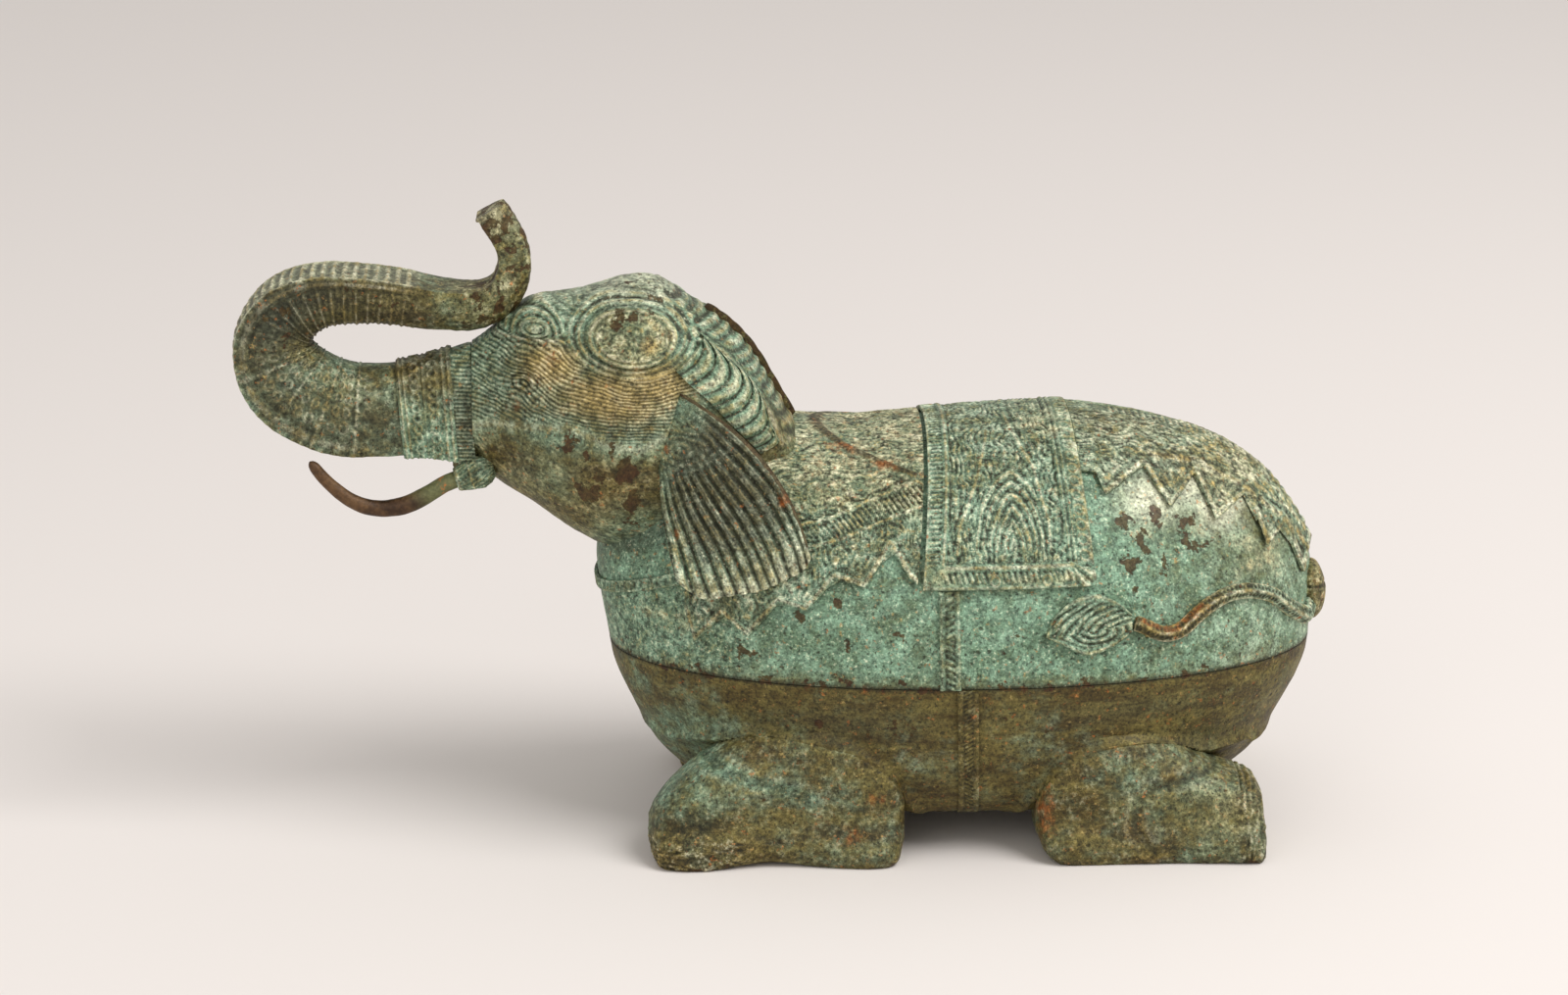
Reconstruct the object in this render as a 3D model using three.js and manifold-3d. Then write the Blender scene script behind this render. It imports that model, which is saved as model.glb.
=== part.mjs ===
// Bronze box in the shape of a kneeling elephant.
// The lower bowl is the belly with its four folded legs. The lid is the back with the head,
// the looped trunk, ears, tusk and tail, and it lifts straight off a raised lip on the bowl.
// Millimetres, z up, the elephant looks along -x, its left side faces -y.
import * as THREE from 'three';
import { mergeVertices } from 'three/addons/utils/BufferGeometryUtils.js';
import Module from 'manifold-3d';

const wasm = await Module();
wasm.setup();

// Body: the seam between bowl and lid is a level oval.
const SEAM_Z = 77;
const BODY_CENTRE_X = 0;
const BODY_HALF_LENGTH = 147.5;
const BODY_HALF_WIDTH = 81;
const PLAN_POWER = 2.1;
const LID_HEIGHT = 95.5;
const BELLY_Z = 14;
const BOWL_WALL = 4.5;
const LID_WALL = 3.2;

// Raised lip of the bowl, which the lid drops over.
const SEAT_GAP = 0.3;
const LIP_HEIGHT = 6;
const LIP_THICKNESS = 2.5;
const LIP_CLEARANCE = 0.8;

// Gap between castings and applied pieces that are brazed to one another.
const JOINT_GAP = 0.3;

// Head, measured from the muzzle where the trunk begins.
const MUZZLE_OVERHANG = 55.5;
const HEAD_AXIS_RISE = 2;
const HEAD_LENGTH = 137;
const HEAD_HALF_HEIGHT = 57;
const HEAD_HALF_WIDTH = 47;
const HEAD_WALL = 3.6;

// Trunk: a loop with a flat, ribbed outer face.
const TRUNK_REACH = 81;
const TRUNK_RISE = 45;
const TRUNK_THICKNESS = 48;
const TRUNK_WIDTH = 35;
const TRUNK_WALL = 4;
const TRUNK_ROOT_RISE = 5.5;
const RIB_PITCH = 5.3;
const RIB_HEIGHT = 0.9;
const RIBS_START = 0.13;
const RIBS_END = 0.63;
const TRUNK_HOLLOW_END = 0.6;
const COLLAR_START = 0.018;
const COLLAR_THICKNESS = 0.7;
const COLLAR_LENGTH = 23;
const COLLAR_BAND_HEIGHT = 0.7;

// Ears: fluted fans, placed by shares of the head's length and half height.
const EAR_PLACE = 0.66;
const EAR_RISE = 0.307;
const EAR_THICKNESS = 2.2;
const EAR_DROP = 82;
const EAR_SPREAD = 54;
const EAR_FLUTES = 12;
const FLUTE_DEPTH = 1.3;
const EAR_FLARE = 15;
const EAR_REAR_FLARE = 3;
const EAR_BOW = 0.19;

// Tusks in their hatched cuffs; the right one is broken off inside its cuff.
const TUSK_RADIUS = 3.4;
const TUSK_REACH = 64;
const TUSK_DROP = 14;
const TUSK_SPLAY = 4;
const TUSK_ROOT = 0.02;
const TUSK_SEAT = 0.1;
const STUB_END = 0.13;
const TUSK_HALF_SPACING = 15.5;
const CUFF_RADIUS = 6.6;
const CUFF_LENGTH = 15;
const CUFF_OVERHANG = 6.5;
const CUFF_DROP = 22.8;
const CUFF_SLOPE = 3;

// Tail: a band with a leaf-shaped tuft, swept along the left flank from a knob on the rump.
const TAIL_RADIUS = 3.2;
const TAIL_TAPER = 0.4;
const KNOB_RADIUS = 7.4;
const KNOB_STATION = 0.968;
const KNOB_SIDE = 6;
const KNOB_INSET = 1;
const KNOB_DROP = 1.5;
const TUFT_LENGTH = 35;
const TUFT_HEIGHT = 24;
const TUFT_DROP = 0.9;
const TUFT_GAP = 1.3;
const TUFT_THICKNESS = 2.4;

// Cloths and straps that lie on the body.
const CLOTH_THICKNESS = 1.1;
const BORDER_RISE = 0.9;
const SADDLE_CENTRE_X = 14;
const SADDLE_LENGTH_TOP = 59;
const SADDLE_LENGTH_HEM = 70;
const SADDLE_HEM_RISE = 40;
const SADDLE_BORDER = 5;
const CLOTH_GAP = 1;
const NECK_CLOTH_PLACE = 0.64;
const STRAP_WIDTH = 8.5;
const STRAP_THICKNESS = 1.2;
const LID_STRAP_X = -10.5;
const LID_STRAP_LEAN = 1.8;
const BOWL_STRAP_X = -3;
const BOWL_STRAP_LEAN = 2.5;
const BOWL_STRAP_RISE = 1.5;
const CHEST_BAND_WIDTH = 5;
const CHEST_BAND_RISE = 23.5;
const CHEST_BAND_SLOPE = 0.38;
const CHEST_REACH = 5;

// Ornament on the head, placed by shares of the head's length and half height.
const MEDALLION_PLACE = 0.48;
const MEDALLION_RISE = 0.691;
const MEDALLION_LENGTH = 37;
const MEDALLION_HEIGHT = 21.5;
const RING_WIDTH = 2.2;
const ORNAMENT_THICKNESS = 0.8;
const ORNAMENT_GAP = 0.5;
const EYE_PLACE = 0.191;
const EYE_RISE = 0.719;
const EYE_LENGTH = 13;
const EYE_HEIGHT = 6;
const CREST_START = 0.7;
const CREST_END = 0.965;
const CREST_ROOT = 4;
const CREST_THICKNESS = 2.6;
const CREST_HEIGHT = 2.5;
const CREST_NOTCH = 0.85;
const CREST_TEETH = 7;
const NECK_RIBS = 9;
const NECK_RIB_HEIGHT = 1.5;
const NECK_RIB_BOW = 3;

// Legs: the outer side of the feet stands just inside the belly's outline. The right front
// foot is drawn back under the chest.
const LEG_INSET = 4;
const LEG_WIDTH = 44;
const SOLE_FLARE = 8.5;
const SOLE_FLARE_HEIGHT = 18;
const FRONT_FOOT_INSET = 15;
const FRONT_LEG_LENGTH = 105;
const RIGHT_FOOT_TUCK = 13;
const FRONT_LEG_HEIGHT = 44;
const REAR_SOLE_INSET = 26.5;
const REAR_LEG_LENGTH = 94;
const REAR_LEG_HEIGHT = 40;

// Facets, and the reach of construction outlines and rays beyond the object.
const PLAN_STATIONS = 22;
const ARCH_STEPS = 14;
const FAR_ENOUGH = 500;

// How far the outlines of the cloths run on above the back.
const OVER_BACK = 30;

const BODY_FRONT_X = BODY_CENTRE_X - BODY_HALF_LENGTH;
const BACK_Z = SEAM_Z + LID_HEIGHT;
const HEAD_Z = BACK_Z + HEAD_AXIS_RISE;
const MUZZLE_X = BODY_FRONT_X - MUZZLE_OVERHANG;
const NECK_CLOTH_X = MUZZLE_X + NECK_CLOTH_PLACE * HEAD_LENGTH;

const PATINA = { teal: 0x55705f, moss: 0x5f6347, dark: 0x3b2f28, ochre: 0x7d7048 };

function bronze(color) {
  return new THREE.MeshStandardMaterial({ color, roughness: 0.75, metalness: 0.35 });
}

function v3(x, y, z) {
  return new THREE.Vector3(x, y, z);
}

function spread(from, to, count) {
  return Array.from({ length: count + 1 }, (_, i) => from + ((to - from) * i) / count);
}

// Smooth curve through rows of numbers; the first number of a row is the parameter.
function smoothTable(rows) {
  return (t) => {
    const last = rows.length - 1;
    let i = 0;
    while (i < last - 1 && t > rows[i + 1][0]) {
      i += 1;
    }
    const a = rows[Math.max(i - 1, 0)];
    const b = rows[i];
    const c = rows[i + 1];
    const d = rows[Math.min(i + 2, last)];
    const span = c[0] - b[0];
    const f = THREE.MathUtils.clamp((t - b[0]) / span, 0, 1);
    return b.slice(1).map((value, k) => {
      const next = c[k + 1];
      const slopeIn = (next - a[k + 1]) / (c[0] - a[0]);
      const slopeOut = (d[k + 1] - value) / (d[0] - b[0]);
      const f2 = f * f;
      const f3 = f2 * f;
      return value * (2 * f3 - 3 * f2 + 1) + slopeIn * span * (f3 - 2 * f2 + f)
        + next * (3 * f2 - 2 * f3) + slopeOut * span * (f3 - f2);
    });
  };
}

// Mesh building: triangles are collected, welded and turned outwards.
function closedGeometry(triangles) {
  const corners = new Float32Array(triangles.flat().flatMap((p) => [p.x, p.y, p.z]));
  const loose = new THREE.BufferGeometry();
  loose.setAttribute('position', new THREE.BufferAttribute(corners, 3));
  const welded = mergeVertices(loose, 1e-3);
  const index = Array.from(welded.index.array);
  const kept = [];
  for (let i = 0; i < index.length; i += 3) {
    const [a, b, c] = index.slice(i, i + 3);
    if (a !== b && b !== c && c !== a) {
      kept.push(a, b, c);
    }
  }
  if (signedVolume(welded.attributes.position, kept) < 0) {
    kept.reverse();
  }
  welded.setIndex(kept);
  return welded;
}

function signedVolume(position, index) {
  const [a, b, c] = [v3(0, 0, 0), v3(0, 0, 0), v3(0, 0, 0)];
  let volume = 0;
  for (let i = 0; i < index.length; i += 3) {
    a.fromBufferAttribute(position, index[i]);
    b.fromBufferAttribute(position, index[i + 1]);
    c.fromBufferAttribute(position, index[i + 2]);
    volume += a.dot(b.cross(c)) / 6;
  }
  return volume;
}

function addQuad(triangles, a, b, c, d) {
  triangles.push([a, b, c], [a, c, d]);
}

// A sheet of triangles over rows of points, with its sides the other way round when flipped.
function addSheet(triangles, rows, flipped = false) {
  for (let i = 0; i + 1 < rows.length; i += 1) {
    for (let j = 0; j + 1 < rows[i].length; j += 1) {
      const quad = [rows[i][j], rows[i][j + 1], rows[i + 1][j + 1], rows[i + 1][j]];
      addQuad(triangles, ...(flipped ? quad.reverse() : quad));
    }
  }
}

// A plate between two sheets of points, closed round its rim.
function plate(outside, inside) {
  const last = outside.length - 1;
  const rim = (rows) => [
    ...rows[0],
    ...rows.slice(1).map((row) => row[row.length - 1]),
    ...rows[last].slice(0, -1).reverse(),
    ...rows.slice(0, -1).reverse().map((row) => row[0]),
  ];
  const triangles = [];
  addSheet(triangles, outside);
  addSheet(triangles, inside, true);
  addSheet(triangles, [rim(inside), rim(outside)]);
  return closedGeometry(triangles);
}

function centroid(ring) {
  return ring.reduce((sum, p) => sum.add(p), v3(0, 0, 0)).divideScalar(ring.length);
}

// A loft through closed rings. A ring of equal points is a pole; open ends are capped.
function loft(rings) {
  const closed = rings.map((ring) => [...ring, ring[0]]);
  const first = rings[0];
  const last = rings[rings.length - 1];
  const start = first.map(() => centroid(first));
  const end = last.map(() => centroid(last));
  const triangles = [];
  addSheet(triangles, [[...start, start[0]], ...closed, [...end, end[0]]]);
  return closedGeometry(triangles);
}

// Booleans.
function toManifold(geometry) {
  const bare = geometry.clone();
  bare.deleteAttribute('normal');
  bare.deleteAttribute('uv');
  const welded = mergeVertices(bare, 1e-4);
  return new wasm.Manifold(new wasm.Mesh({
    numProp: 3,
    vertProperties: new Float32Array(welded.attributes.position.array),
    triVerts: new Uint32Array(welded.index.array),
  }));
}

function fromManifold(solid) {
  const mesh = solid.getMesh();
  const geometry = new THREE.BufferGeometry();
  geometry.setAttribute('position', new THREE.BufferAttribute(mesh.vertProperties, 3));
  geometry.setIndex(new THREE.BufferAttribute(mesh.triVerts, 1));
  return geometry;
}

function cut(solid, ...cutters) {
  return cutters.reduce((rest, cutter) => rest.subtract(cutter), solid);
}

// A prism along y over an outline in x and z.
function sidePrism(outline, yLow, yHigh) {
  const shape = outline.map(([x, z]) => new THREE.Vector2(x, z));
  if (THREE.ShapeUtils.isClockWise(shape)) {
    shape.reverse();
  }
  const low = shape.map((p) => v3(p.x, yLow, p.y));
  const high = shape.map((p) => v3(p.x, yHigh, p.y));
  const triangles = [];
  for (const [a, b, c] of THREE.ShapeUtils.triangulateShape(shape, [])) {
    triangles.push([low[a], low[b], low[c]], [high[a], high[c], high[b]]);
  }
  for (let i = 0; i < shape.length; i += 1) {
    const next = (i + 1) % shape.length;
    addQuad(triangles, low[next], low[i], high[i], high[next]);
  }
  return toManifold(closedGeometry(triangles));
}

// Plan of the body: a superellipse. Station 0 is the front tip and station 1 the rear tip.
function planPoint(station, halfLength, halfWidth) {
  const angle = Math.PI * (1 - station);
  const c = Math.cos(angle);
  const s = Math.sin(angle);
  const power = 2 / PLAN_POWER;
  return [
    BODY_CENTRE_X + halfLength * Math.sign(c) * Math.abs(c) ** power,
    halfWidth * Math.abs(s) ** power,
  ];
}

// Crest of the lid, from the foot of the chest over the back to the foot of the rump.
// Shares of the half length from the body's centre, and of the lid's height.
const CREST_SHAPE = [
  [0, -1, 0], [0.06, -1.022, 0.2], [0.11, -1.034, 0.38], [0.15, -1.02, 0.52],
  [0.2, -0.965, 0.7], [0.26, -0.86, 0.87], [0.33, -0.69, 0.95], [0.4, -0.49, 0.95],
  [0.46, -0.33, 0.937], [0.52, -0.16, 0.955], [0.58, 0.03, 0.983], [0.64, 0.21, 1],
  [0.7, 0.375, 0.985], [0.76, 0.55, 0.935], [0.82, 0.72, 0.85], [0.87, 0.85, 0.72],
  [0.91, 0.932, 0.565], [0.94, 0.99, 0.4], [0.97, 1.01, 0.19], [1, 1, 0],
];
const crestShare = smoothTable(CREST_SHAPE);

function crestPoint(station, offset) {
  const step = 1e-3;
  const before = crestShare(Math.max(station - step, 0));
  const after = crestShare(Math.min(station + step, 1));
  const along = new THREE.Vector2(
    (after[0] - before[0]) * BODY_HALF_LENGTH,
    (after[1] - before[1]) * LID_HEIGHT,
  ).normalize();
  const [sx, sz] = crestShare(station);
  return [
    BODY_CENTRE_X + sx * BODY_HALF_LENGTH - along.y * offset,
    SEAM_Z + SEAT_GAP + sz * LID_HEIGHT + along.x * offset,
  ];
}

// How square the arch of the lid is, and how late its sections lean over to the crest.
const ARCH_SQUARENESS = 0.92;
const ARCH_LEAN = 1.5;

// Point of the lid's skin: arch 0 is the left rim, 0.5 the crest and 1 the right rim.
function lidPoint(station, arch, offset) {
  const [rimX, rimY] = planPoint(station, BODY_HALF_LENGTH + offset, BODY_HALF_WIDTH + offset);
  const [crestX, crestZ] = crestPoint(station, offset);
  const angle = Math.PI * arch;
  const rimZ = SEAM_Z + SEAT_GAP;
  const rise = Math.sin(angle) ** ARCH_SQUARENESS;
  const side = Math.sign(Math.cos(angle)) * Math.abs(Math.cos(angle)) ** ARCH_SQUARENESS;
  return v3(
    THREE.MathUtils.lerp(rimX, crestX, Math.sin(angle) ** ARCH_LEAN),
    -rimY * side,
    rimZ + (crestZ - rimZ) * rise,
  );
}

function lidSheet(offset) {
  const rows = [];
  for (let i = 0; i <= PLAN_STATIONS; i += 1) {
    const row = [];
    for (let j = 0; j <= ARCH_STEPS; j += 1) {
      row.push(lidPoint(i / PLAN_STATIONS, j / ARCH_STEPS, offset));
      row[j].z = Math.max(row[j].z, SEAM_Z + SEAT_GAP);
    }
    rows.push(row);
  }
  return rows;
}

// The whole space under the lid's skin, as a cutter or as the core of an overlay.
function lidCore(offset) {
  const rows = lidSheet(offset);
  const triangles = [];
  addSheet(triangles, rows);
  addSheet(triangles, rows.map((row) => [row[0], row[row.length - 1]]), true);
  return toManifold(closedGeometry(triangles));
}

function lidBlank() {
  const outer = lidSheet(0);
  const inner = lidSheet(-LID_WALL);
  const last = ARCH_STEPS;
  const triangles = [];
  addSheet(triangles, outer);
  addSheet(triangles, inner, true);
  addSheet(triangles, outer.map((row, i) => [row[0], inner[i][0]]), true);
  addSheet(triangles, outer.map((row, i) => [row[last], inner[i][last]]));
  return toManifold(closedGeometry(triangles));
}

// Bowl: shares of the rim's outline against shares of the depth below the seam.
const BOWL_SHAPE = smoothTable([
  [0, 1], [0.12, 0.991], [0.27, 0.967], [0.48, 0.922], [0.7, 0.868],
  [0.85, 0.8], [0.95, 0.72], [1, 0.58],
]);

function planRing(halfLength, halfWidth, z) {
  const ring = [];
  for (let i = 0; i < 2 * PLAN_STATIONS; i += 1) {
    const half = i <= PLAN_STATIONS ? i : 2 * PLAN_STATIONS - i;
    const [x, y] = planPoint(half / PLAN_STATIONS, halfLength, halfWidth);
    ring.push(v3(x, i <= PLAN_STATIONS ? -y : y, z));
  }
  return ring;
}

function bowlRing(depthShare, offset) {
  const [share] = BOWL_SHAPE(depthShare);
  const z = SEAM_Z - depthShare * (SEAM_Z - BELLY_Z);
  return planRing(BODY_HALF_LENGTH * share + offset, BODY_HALF_WIDTH * share + offset, z);
}

const BOWL_LEVELS = [1, 0.95, 0.86, 0.7, 0.5, 0.28, 0];

function bowlCore(offset) {
  const rings = BOWL_LEVELS.map((level) => bowlRing(level, offset));
  for (const point of rings[0]) {
    point.z -= offset;
  }
  return toManifold(loft(rings));
}

function baseBowl() {
  const rings = BOWL_LEVELS.map((level) => bowlRing(level, 0));
  const lipOuter = -(LID_WALL + LIP_CLEARANCE);
  const lipInner = lipOuter - LIP_THICKNESS;
  const lipRing = (offset, z) => planRing(BODY_HALF_LENGTH + offset, BODY_HALF_WIDTH + offset, z);
  rings.push(lipRing(lipOuter, SEAM_Z));
  rings.push(lipRing(lipOuter, SEAM_Z + LIP_HEIGHT));
  rings.push(lipRing(lipInner, SEAM_Z + LIP_HEIGHT));
  rings.push(lipRing(lipInner, SEAM_Z - LIP_HEIGHT));
  for (const level of [0.3, 0.55, 0.78, 0.95]) {
    const floorRise = BOWL_WALL * level ** 4;
    const ring = bowlRing(level, -BOWL_WALL);
    ring.forEach((point) => {
      point.z += floorRise;
    });
    rings.push(ring);
  }
  return loft(rings);
}

// Head: shares along its length, of the half height above and below its axis, and of the
// half width.
const HEAD_SHAPE = smoothTable([
  [0, 0.53, 0.345, 0.4], [0.045, 0.605, 0.44, 0.47], [0.11, 0.745, 0.55, 0.6],
  [0.175, 0.85, 0.65, 0.715], [0.24, 0.875, 0.765, 0.81], [0.315, 0.9, 0.88, 0.885],
  [0.385, 0.935, 0.97, 0.945], [0.46, 0.99, 1.005, 0.99], [0.535, 1, 1, 1],
  [0.6, 0.94, 0.945, 0.99], [0.665, 0.82, 0.85, 0.965], [0.73, 0.725, 0.745, 0.935],
  [0.79, 0.605, 0.64, 0.895], [0.85, 0.43, 0.55, 0.84], [0.905, 0.2, 0.48, 0.765],
  [0.96, -0.03, 0.43, 0.66], [1, -0.18, 0.38, 0.55],
]);
const HEAD_SQUARENESS = 0.92;
const HEAD_STEPS = 20;
const HEAD_POINTS = 20;
const CAVITY_STEPS = 10;
const CAVITY_POINTS = 12;

function headX(place) {
  return MUZZLE_X + place * HEAD_LENGTH;
}

function headZ(rise) {
  return HEAD_Z + rise * HEAD_HALF_HEIGHT;
}

function headRing(share, offset, count) {
  const [above, below, wide] = HEAD_SHAPE(share);
  const top = headZ(above) + offset;
  const bottom = headZ(-below) - offset;
  const halfHeight = (top - bottom) / 2;
  const halfWidth = wide * HEAD_HALF_WIDTH + offset;
  const x = headX(share);
  return Array.from({ length: count }, (_, i) => {
    const angle = (2 * Math.PI * i) / count;
    const c = Math.cos(angle);
    const s = Math.sin(angle);
    return v3(
      x,
      halfWidth * Math.sign(c) * Math.abs(c) ** HEAD_SQUARENESS,
      (top + bottom) / 2 + halfHeight * Math.sign(s) * Math.abs(s) ** HEAD_SQUARENESS,
    );
  });
}

function headLoft(offset, frontShift, rearShift, steps, count) {
  const rings = spread(0, 1, steps).map((share) => headRing(share, offset, count));
  rings[0].forEach((point) => {
    point.x += frontShift;
  });
  rings[steps].forEach((point) => {
    point.x += rearShift;
  });
  return toManifold(loft(rings));
}

function headCore(offset) {
  return headLoft(offset, -offset, offset, HEAD_STEPS, HEAD_POINTS);
}

// The hollow of the head, which opens into the trunk in front and into the lid below.
function headCavity() {
  return headLoft(-HEAD_WALL, -1, -HEAD_WALL, CAVITY_STEPS, CAVITY_POINTS);
}

// Trunk: shares of reach forward of the muzzle, of rise above the root, of thickness and width.
const TRUNK_SHAPE = smoothTable([
  [0, 0, 0, 1, 1], [0.05, 0.24, -0.03, 0.8, 0.97], [0.1, 0.44, -0.06, 0.755, 0.96],
  [0.16, 0.655, -0.04, 0.77, 0.96], [0.22, 0.84, 0.095, 0.775, 0.96],
  [0.28, 0.96, 0.3, 0.745, 0.96], [0.345, 1, 0.58, 0.67, 0.94], [0.41, 0.93, 0.825, 0.61, 0.92],
  [0.475, 0.77, 0.97, 0.52, 0.9], [0.54, 0.56, 0.985, 0.46, 0.88], [0.6, 0.37, 0.95, 0.435, 0.86],
  [0.68, 0.15, 0.885, 0.4, 0.82], [0.75, -0.04, 0.885, 0.38, 0.72],
  [0.81, -0.17, 1.005, 0.335, 0.6], [0.87, -0.228, 1.26, 0.285, 0.51],
  [0.93, -0.205, 1.5, 0.28, 0.46], [1, -0.112, 1.8, 0.29, 0.43],
]);
const ROOT_Z = HEAD_Z + TRUNK_ROOT_RISE;

// Direction along the trunk, as an angle in the plane of symmetry.
function trunkPlace(share) {
  const at = (t) => {
    const [forward, rise] = TRUNK_SHAPE(t);
    return [MUZZLE_X - JOINT_GAP - forward * TRUNK_REACH, ROOT_Z + rise * TRUNK_RISE];
  };
  const step = 2e-3;
  const before = at(Math.max(share - step, 0));
  const after = at(Math.min(share + step, 1));
  const along = new THREE.Vector2(after[0] - before[0], after[1] - before[1]).normalize();
  if (share === 0) {
    along.set(-1, 0);
  }
  const [x, z] = at(share);
  return { x, z, outX: -along.y, outZ: along.x };
}

// Section of the trunk: a flat outer face with two crisp edges and a round inner side.
const FACE_SIDES = [-1, -0.45, 0.45, 1];
const FACE_HEIGHT = 0.93;
const ROUND_POINTS = 7;
const ROUND_WIDTH_POWER = 0.8;
const ROUND_DEPTH_POWER = 0.9;

function trunkRing(share, offset, faceRise = 0) {
  const { x, z, outX, outZ } = trunkPlace(share);
  const [, , thick, wide] = TRUNK_SHAPE(share);
  const halfThickness = (thick * TRUNK_THICKNESS) / 2 + offset;
  const halfWidth = (wide * TRUNK_WIDTH) / 2 + offset;
  const edge = FACE_HEIGHT * halfThickness;
  const at = (out, side) => v3(x + outX * out, side, z + outZ * out);
  const ring = FACE_SIDES.map((side) => (
    at(edge + (halfThickness - edge) * (1 - side * side) + faceRise, side * halfWidth)
  ));
  for (let i = 1; i <= ROUND_POINTS; i += 1) {
    const angle = (Math.PI * i) / (ROUND_POINTS + 1);
    const c = Math.cos(angle);
    const side = Math.sign(c) * Math.abs(c) ** ROUND_WIDTH_POWER;
    const depth = (edge + halfThickness) * Math.sin(angle) ** ROUND_DEPTH_POWER;
    ring.push(at(edge - depth, side * halfWidth));
  }
  return ring;
}

// Places of the ribs: crest and valley by turns, evenly spaced along the outer face.
function ribShares() {
  const shares = [];
  const step = 1e-3;
  let travelled = 0;
  let previous = trunkRing(RIBS_START, 0)[1];
  for (let share = RIBS_START; share <= RIBS_END; share += step) {
    const here = trunkRing(share, 0)[1];
    travelled += here.distanceTo(previous);
    previous = here;
    if (travelled >= shares.length * (RIB_PITCH / 2)) {
      shares.push(share);
    }
  }
  return shares;
}

function rootShares() {
  return spread(0, RIBS_START, 3).slice(0, -1);
}

function trunk() {
  const hollow = spread(TRUNK_HOLLOW_END, 0, 9).map((share) => trunkRing(share, -TRUNK_WALL));
  const root = rootShares().map((share) => trunkRing(share, 0));
  const ribs = ribShares().map((share, i) => trunkRing(share, 0, (i % 2) * RIB_HEIGHT));
  const tip = spread(RIBS_END, 1, 11).slice(1).map((share) => trunkRing(share, 0));
  const blank = toManifold(loft([...hollow, ...root, ...ribs, ...tip]));
  return fromManifold(cut(blank, headCore(JOINT_GAP)));
}

function trunkRootCore(offset) {
  const shares = [...rootShares(), RIBS_START];
  return toManifold(loft(shares.map((share) => trunkRing(share, offset))));
}

// Sleeve of raised bands round the root of the trunk. There, one reach of the trunk is this
// share of its course.
const SHARE_OF_REACH = 0.22;

function trunkCollar() {
  const end = COLLAR_START + (COLLAR_LENGTH / TRUNK_REACH) * SHARE_OF_REACH;
  const bands = [1, 1, 0, 0, 1, 0, 0, 1, 0, 0, 1, 1];
  const shares = spread(COLLAR_START, end, bands.length - 1);
  const skin = JOINT_GAP + COLLAR_THICKNESS;
  const outer = shares.map((share, i) => trunkRing(share, skin + bands[i] * COLLAR_BAND_HEIGHT));
  return fromManifold(cut(toManifold(loft(outer)), trunkRootCore(JOINT_GAP)));
}

// Half width of the head at a place of its side, with an offset off the skin.
function headSide(x, z, offset) {
  const share = THREE.MathUtils.clamp((x - MUZZLE_X) / HEAD_LENGTH, 0, 1);
  const [above, below, wide] = HEAD_SHAPE(share);
  const middle = headZ((above - below) / 2);
  const halfHeight = ((above + below) * HEAD_HALF_HEIGHT) / 2 + offset;
  const s = Math.min(Math.abs(z - middle) / halfHeight, 1) ** (1 / HEAD_SQUARENESS);
  return (wide * HEAD_HALF_WIDTH + offset) * Math.sqrt(1 - s * s) ** HEAD_SQUARENESS;
}

// Half width of the lid at a place of its side, found by a ray from the left.
const lidSkins = new Map();

function lidSide(x, z, offset) {
  if (!lidSkins.has(offset)) {
    const skin = new THREE.Mesh(fromManifold(lidCore(offset)));
    skin.material.side = THREE.DoubleSide;
    lidSkins.set(offset, skin);
  }
  const ray = new THREE.Raycaster(v3(x, -FAR_ENOUGH, z), v3(0, 1, 0));
  const [hit] = ray.intersectObject(lidSkins.get(offset));
  return hit ? -hit.point.y : 0;
}

// Left or right: pieces are made on the left and mirrored.
function onSide(geometry, side) {
  if (side === 'left') {
    return geometry;
  }
  const mirrored = geometry.clone().scale(1, -1, 1);
  mirrored.setIndex(Array.from(mirrored.index.array).reverse());
  return mirrored;
}

function head() {
  return fromManifold(cut(headCore(0), headCavity(), lidCore(JOINT_GAP)));
}

function lidShell() {
  return fromManifold(cut(lidBlank(), headCavity()));
}

// Ear: rays fan out from a short root line to the rim, and the flutes follow the rays.
// Rows: place in the fan, then x and z of the root line and of the rim, as shares of the
// ear's spread and drop.
const EAR_SHAPE = smoothTable([
  [0, -0.267, -0.348, -0.15, -0.87], [0.12, -0.247, -0.305, 0.03, -0.954],
  [0.3, -0.217, -0.24, 0.27, -0.944], [0.5, -0.184, -0.168, 0.49, -0.917],
  [0.7, -0.15, -0.096, 0.66, -0.866], [0.85, -0.125, -0.042, 0.8, -0.815],
  [1, -0.1, 0.012, 0.859, -0.751],
]);
const EAR_FRONT_BOW = -0.03;
const EAR_BOW_AWAY = [0.85, 0.5];
const EAR_ROWS = 3;

function earPoint(fan, along) {
  const [rootX, rootZ, rimX, rimZ] = EAR_SHAPE(fan).map((share, i) => (
    i % 2 ? headZ(EAR_RISE) + EAR_DROP * share : headX(EAR_PLACE) + EAR_SPREAD * share
  ));
  const bowShare = EAR_BOW * fan * fan + EAR_FRONT_BOW * (1 - fan);
  const bow = 4 * along * (1 - along) * EAR_SPREAD * bowShare;
  const x = THREE.MathUtils.lerp(rootX, rimX, along) + bow * EAR_BOW_AWAY[0];
  const z = THREE.MathUtils.lerp(rootZ, rimZ, along) + bow * EAR_BOW_AWAY[1];
  const rootY = headSide(rootX, rootZ, 0) - EAR_THICKNESS / 2;
  const rimY = BODY_HALF_WIDTH - EAR_FLARE + EAR_REAR_FLARE * fan;
  const flute = FLUTE_DEPTH * Math.cos(2 * Math.PI * EAR_FLUTES * fan) * Math.min(3 * along, 1);
  return v3(x, -THREE.MathUtils.lerp(rootY, rimY, along ** 0.8) - flute / 2, z);
}

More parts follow.
